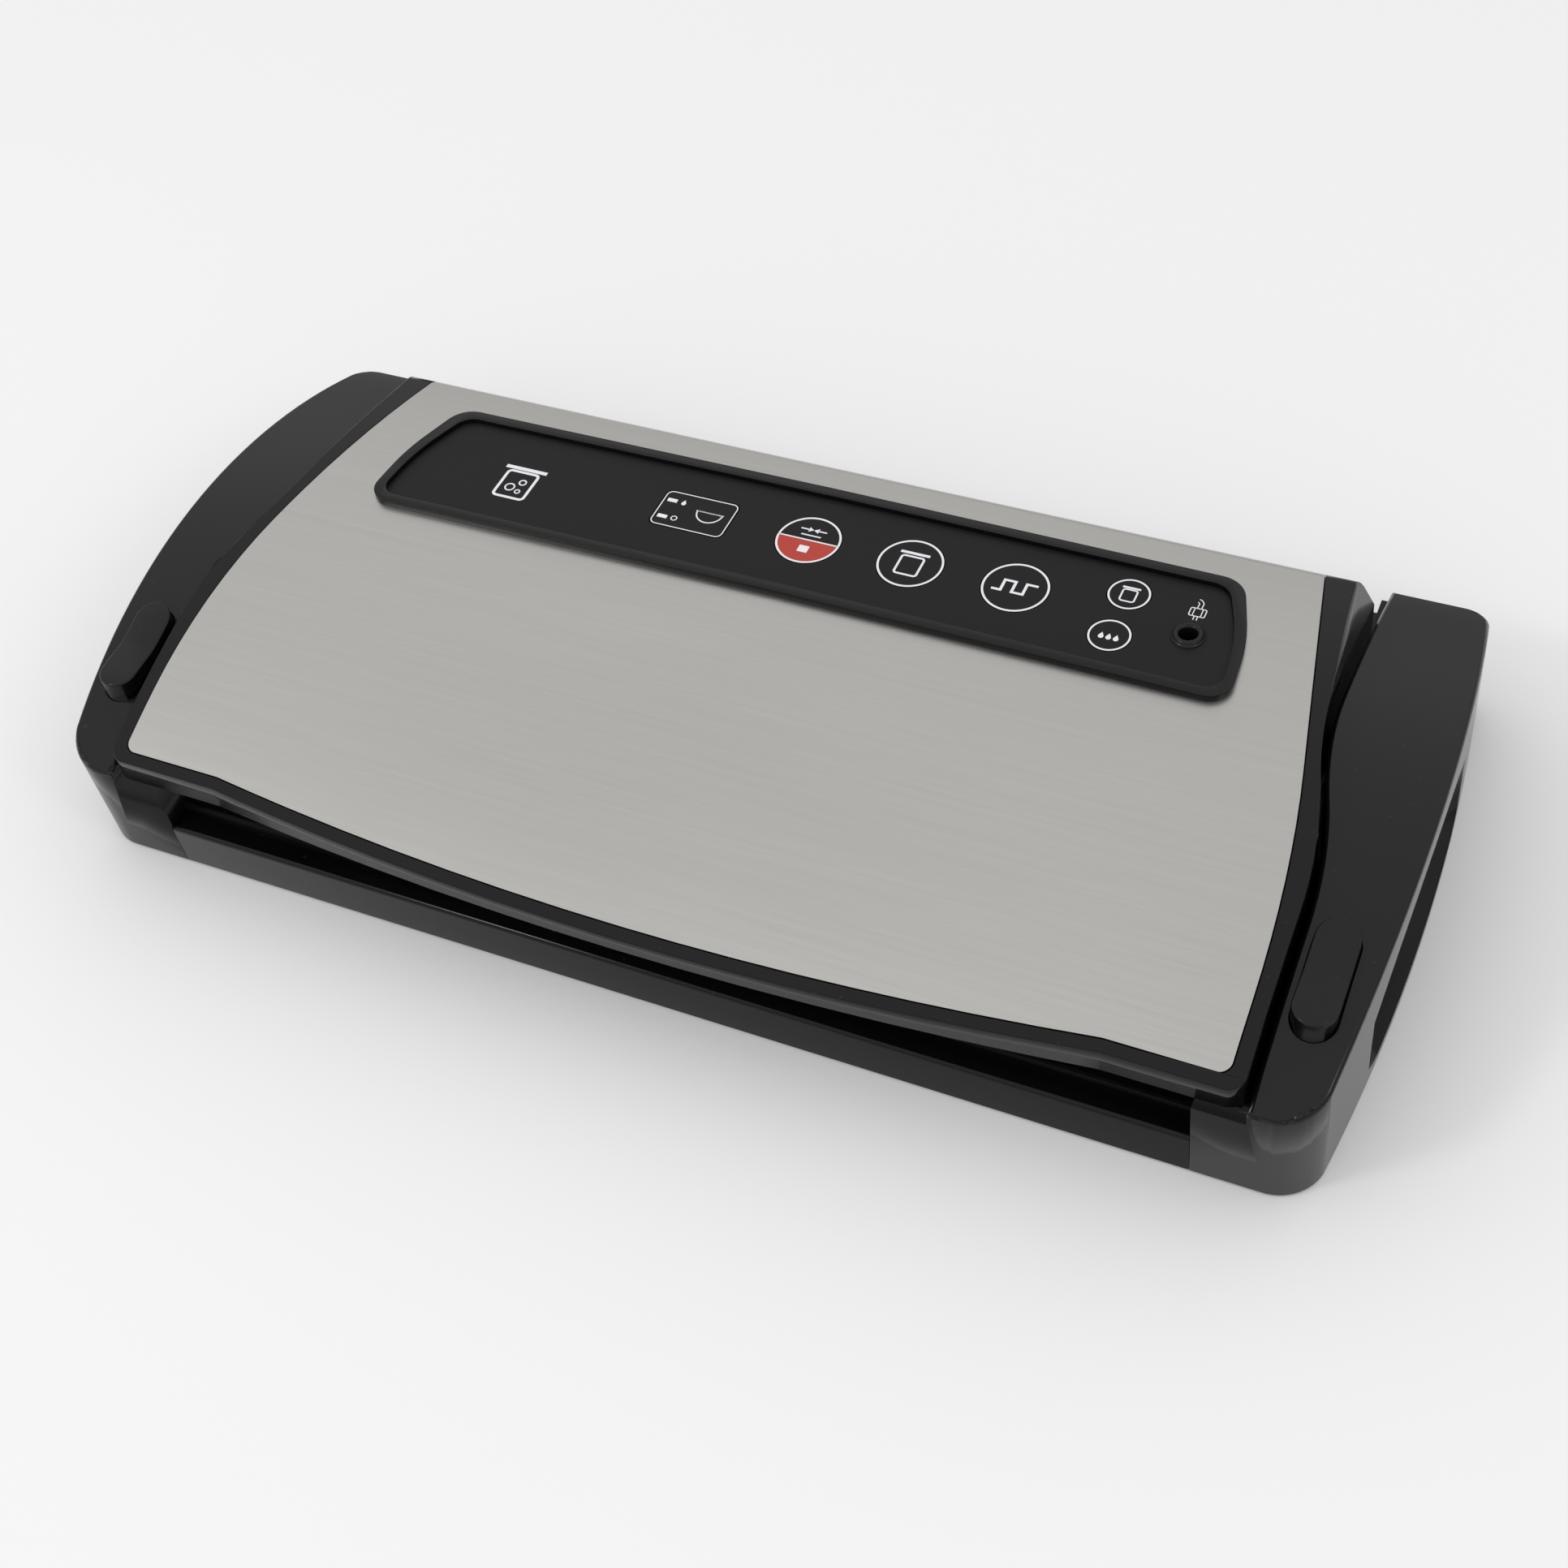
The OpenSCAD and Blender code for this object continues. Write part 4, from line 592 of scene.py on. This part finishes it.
def on_panel(node):
    """The middle of a CAD node's top face, from how far it reaches along the panel's own three ways."""
    points = [vertex.co for vertex in frame["nodes"][node].data.vertices]
    middle = Vector()
    for way, share in ((panel_right, 0.5), (panel_back, 0.5), (panel_up, 1.0)):
        reach = [point.dot(way) for point in points]
        middle += way * (min(reach) * (1 - share) + max(reach) * share)
    return middle


def ink(name, colour):
    """Screen-printed ink: opaque, nearly matt, with the mesh's slight unevenness."""
    print_ink = Finish(name, colour, 0.5, Specular_IOR_Level=0.2)
    screen = print_ink.noise(0.0006, 2)
    print_ink.feed(Base_Color=print_ink.blend(screen, tuple(0.88 * c for c in colour), colour),
                   Roughness=0.42 + 0.16 * screen)
    return print_ink.bump(screen, 0.000008)


white_ink, red_ink = ink("white_ink", (0.80, 0.81, 0.84)), ink("red_ink", (0.46, 0.055, 0.04))
INK_T = 0.04


def line(points, width, closed=False):
    """A printed line along points in mm: pairs of outer and inner points, as strips."""
    strips, count = [], len(points)
    sides = []
    for i, here in enumerate(points):
        before = points[i - 1] if closed or i else here
        after = points[(i + 1) % count] if closed or i < count - 1 else here
        into = Vector((here[0] - before[0], here[1] - before[1]))
        onto = Vector((after[0] - here[0], after[1] - here[1]))
        into, onto = (v.normalized() if v.length else None for v in (into, onto))
        way = ((into or onto) + (onto or into)).normalized()
        lean = max(0.5, way.dot(onto or into))
        out = Vector((way.y, -way.x)) * (width / 2 / lean)
        sides.append((Vector(here) + out, Vector(here) - out))
    for i in range(count if closed else count - 1):
        (a, b), (c, d) = sides[i], sides[(i + 1) % count]
        strips.append([a, c, d, b])
    return strips


def circle(x, y, r, count=72, start=0.0, sweep=360.0):
    ends = count if sweep == 360 else count + 1
    return [(x + r * math.cos(math.radians(start + sweep * i / count)),
             y + r * math.sin(math.radians(start + sweep * i / count))) for i in range(ends)]


def box_line(x, y, w, h, r, count=6):
    """A rounded rectangle about a middle."""
    corners = ((w / 2 - r, h / 2 - r, 0), (r - w / 2, h / 2 - r, 90), (r - w / 2, r - h / 2, 180),
               (w / 2 - r, r - h / 2, 270))
    return [p for dx, dy, a in corners for p in circle(x + dx, y + dy, r, count, a, 90)]


def printed(name, spot, shapes, material, body, base_h=0.0):
    """Lays flat shapes, in mm about a spot on the panel, as a thin layer of ink."""
    sheet = bmesh.new()
    for shape in shapes:
        low, high = ([sheet.verts.new(spot + panel_right * (x * MM) + panel_back * (y * MM)
                                      + panel_up * (h * MM)) for x, y in shape]
                     for h in (base_h, base_h + INK_T))
        sheet.faces.new(high)
        sheet.faces.new(low[::-1])
        for i in range(len(shape)):
            j = (i + 1) % len(shape)
            sheet.faces.new((low[i], low[j], high[j], high[i]))
    bmesh.ops.remove_doubles(sheet, verts=sheet.verts, dist=1e-8)
    mesh = bpy.data.meshes.new(name)
    sheet.to_mesh(mesh)
    sheet.free()
    return place_piece(mesh, name, material, body)


BIG_R, SMALL_R = 9.65, 5.9
RING_W = 0.68
SMALL_RING_W = RING_W - 0.1
bag = line(box_line(0, -1.0, 7.0, 7.8, 0.9), 0.7, True) + line([(-4.6, 4.3), (4.6, 4.3)], 1.0)
pulse = line([(-6.7, -2.2), (-3.9, -2.2), (-3.9, 2.2), (-0.5, 2.2), (-0.5, -2.2), (2.9, -2.2), (2.9, 2.2),
              (6.3, 2.2)], 0.85)
jar = line(box_line(0, -0.6, 4.3, 4.8, 0.8), 0.52, True) + line([(-2.7, 2.6), (2.7, 2.6)], 0.75)


def drop(x, y, size):
    """A falling drop: a round below and a point above."""
    return circle(x, y, size, 20, -210, 240) + [(x, y + 2.1 * size)]


signs = {
    "vacuum": line(circle(0, 0, BIG_R), RING_W, True) + line([(-BIG_R, 0), (BIG_R, 0)], 0.5)
    + line([(-4.2, 4.4), (-1.4, 4.4)], 0.5) + [[(-1.6, 3.4), (0, 4.4), (-1.6, 5.4)]]
    + line([(4.2, 4.4), (1.4, 4.4)], 0.5) + [[(1.6, 5.4), (0, 4.4), (1.6, 3.4)]]
    + line([(-3.2, 2.0), (3.2, 2.0)], 0.5)
    + [[(-1.6, -5.4), (1.6, -5.4), (1.6, -2.6), (-1.6, -2.6)]],
    "seal": line(circle(0, 0, BIG_R), RING_W, True) + bag,
    "pulse": line(circle(0, 0, BIG_R), RING_W, True) + pulse,
    "canister": line(circle(0, 0, SMALL_R, 56), SMALL_RING_W, True) + jar,
    "marinate": line(circle(0, 0, SMALL_R, 56), SMALL_RING_W, True)
    + [drop(x, -1.0, 0.8) for x in (-2.2, 0, 2.2)],
    "food": line(box_line(0, 0, 23.8, 14.8, 1.9), 0.35, True) + [drop(-5.2, 3.2, 0.75)]
    + line(circle(-5.2, -3.7, 0.9, 24), 0.35, True)
    + line(circle(4.6, 1.6, 4.2, 24, 180, 180) + [(0.4, 1.6)], 0.45) + line([(0.0, 1.6), (9.2, 1.6)], 0.45),
}
for key, shapes in signs.items():
    printed("sign_" + key, on_panel("key_" + key), shapes, white_ink, "key_" + key + "_body", INK_T / 2)
half = circle(0, 0, BIG_R - 0.1, 48, 180, 180)
printed("sign_stop_red", on_panel("key_vacuum"), [half], red_ink, "key_vacuum_body", -INK_T / 2)

# A plain bag sign fills the left end of the film, and a small hose plug stands by the port.
MARK_X, MARK_Y = -95.7, -5
PLUG_X, PLUG_Y = -0.3, 9.8
mark = (line(box_line(0, 0, 10.6, 11.8, 1.3), 0.95, True) + line([(-7.2, 7.4), (7.2, 7.4)], 1.4)
        + line(circle(-1.4, -1.4, 1.5, 32), 0.5, True) + line(circle(1.7, 1.5, 1.1, 28), 0.5, True)
        + line(circle(1.9, -2.7, 0.8, 24), 0.45, True))
face_mid = on_panel("panel_face")
seal_mid = on_panel("key_seal")
row_v = (seal_mid - face_mid).dot(panel_back) / MM
printed("sign_bag", face_mid, [[(x + MARK_X, y + row_v + MARK_Y) for x, y in shape] for shape in mark],
        white_ink, "lid")
plug = (line(box_line(0, 0, 4.6, 3.2, 0.5), 0.32, True) + line([(-1.2, 1.6), (-1.2, -1.6)], 0.28)
        + line([(1.2, 1.6), (1.2, -1.6)], 0.28) + line([(-0.5, -1.6), (-0.5, -3.2)], 0.3)
        + line([(0.5, -1.6), (0.5, -3.2)], 0.3)
        + line([(0.7, 1.6)] + circle(-1.3, 3.3, 2.0, 8, -20, 100), 0.3)
        + line([(-0.6, 1.6)] + circle(-1.4, 3.2, 0.9, 6, -20, 90), 0.3))
port_mid = on_panel("hose_port")
port_v = (port_mid - face_mid).dot(panel_back) / MM
printed("sign_plug", face_mid, [[(x + port_mid.x / MM + PLUG_X, y + port_v + PLUG_Y) for x, y in shape]
                                for shape in plug], white_ink, "lid")

# The hose port is a round black boss with a rolled lip round its bore.
PORT = ((2.5, -18), (2.5, -0.2), (2.58, 0.5), (2.85, 1.1), (3.25, 1.45), (3.7, 1.5), (4.1, 1.3), (4.35, 0.9),
        (4.5, 0.55), (4.75, 0.42), (4.9, 0.3), (5.0, 0.0), (5.0, -1.2), (4.2, -1.2), (4.2, -12), (3.2, -12),
        (3.2, -18))


def turned(name, profile, centre, count=64):
    """A body turned round the panel's upright at a centre, from (radius, height) pairs in mm."""
    lathe = bmesh.new()
    rings = [[lathe.verts.new(centre + (panel_right * math.cos(a) + panel_back * math.sin(a)) * (r * MM)
                              + panel_up * (h * MM))
              for a in (math.tau * i / count for i in range(count))] for r, h in profile]
    for low, high in zip(rings, rings[1:] + rings[:1]):
        for i in range(count):
            j = (i + 1) % count
            lathe.faces.new((low[j], low[i], high[i], high[j]))
    bmesh.ops.recalc_face_normals(lathe, faces=lathe.faces)
    mesh = bpy.data.meshes.new(name)
    lathe.to_mesh(mesh)
    lathe.free()
    mesh.shade_smooth()
    mesh.set_sharp_from_angle(angle=math.radians(40))
    return mesh


PORT_LIP = 1.6 * MM
port_foot = port_mid - panel_up * PORT_LIP
place_piece(turned("port_boss", PORT, port_foot), "port_boss", button_black, "lid",
            ("hose_port",))


# ---------- Studio ----------
# Pale paper underfoot and an even white dome that falls off toward the horizon, with two small
# soft lights over a metre up, one at the front left and one at the right.

FLOOR_HALF = 8
LIGHT_AIM = (0, 0, 0.03)
floor_mesh = bpy.data.meshes.new("floor")
floor_mesh.from_pydata([(x * FLOOR_HALF, y * FLOOR_HALF, 0) for x, y in ((-1, -1), (1, -1), (1, 1), (-1, 1))],
                       [], [(0, 1, 2, 3)])
floor = bpy.data.objects.new("floor", floor_mesh)
bpy.context.scene.collection.objects.link(floor)
floor_mesh.materials.append(Finish("pale_paper", (0.84, 0.84, 0.84), 0.9, Specular_IOR_Level=0.1).material)

lens = bpy.data.cameras.new("camera")
lens.lens, lens.sensor_width = 53.98, 36
camera = bpy.data.objects.new("camera", lens)
camera.location = (0.25163, -0.38996, 0.56243)
camera.rotation_euler = [math.radians(turn) for turn in (38.7569, 7.0383, 23.7842)]
bpy.context.scene.collection.objects.link(camera)
bpy.context.scene.camera = camera

world = bpy.data.worlds.new("studio")
bpy.context.scene.world = world
world.use_nodes = True
sky = world.node_tree.nodes["Background"]
sky.inputs["Color"].default_value = (1, 1, 1, 1)
nodes, links = world.node_tree.nodes, world.node_tree.links
way = nodes.new("ShaderNodeTexCoord")
height = nodes.new("ShaderNodeSeparateXYZ")
dome = nodes.new("ShaderNodeMapRange")
dome.interpolation_type = "SMOOTHSTEP"
for socket, amount in (("From Min", 0.0), ("From Max", 0.55), ("To Min", 0.42), ("To Max", 1.0)):
    dome.inputs[socket].default_value = amount
links.new(way.outputs["Generated"], height.inputs[0])
links.new(height.outputs["Z"], dome.inputs["Value"])
links.new(dome.outputs[0], sky.inputs["Strength"])


def softbox(name, place, size, power):
    light = bpy.data.lights.new(name, "AREA")
    light.shape, light.size, light.size_y, light.energy = "RECTANGLE", *size, power
    lantern = bpy.data.objects.new(name, light)
    lantern.location = place
    lantern.rotation_euler = (Vector(LIGHT_AIM) - Vector(place)).to_track_quat("-Z", "Y").to_euler()
    bpy.context.scene.collection.objects.link(lantern)


softbox("key", (-0.9, -0.95, 1.25), (0.3, 0.3), 4.5)
softbox("fill", (1.15, -0.35, 1.1), (0.25, 0.4), 1.3)
bpy.context.scene.view_settings.view_transform = "Standard"
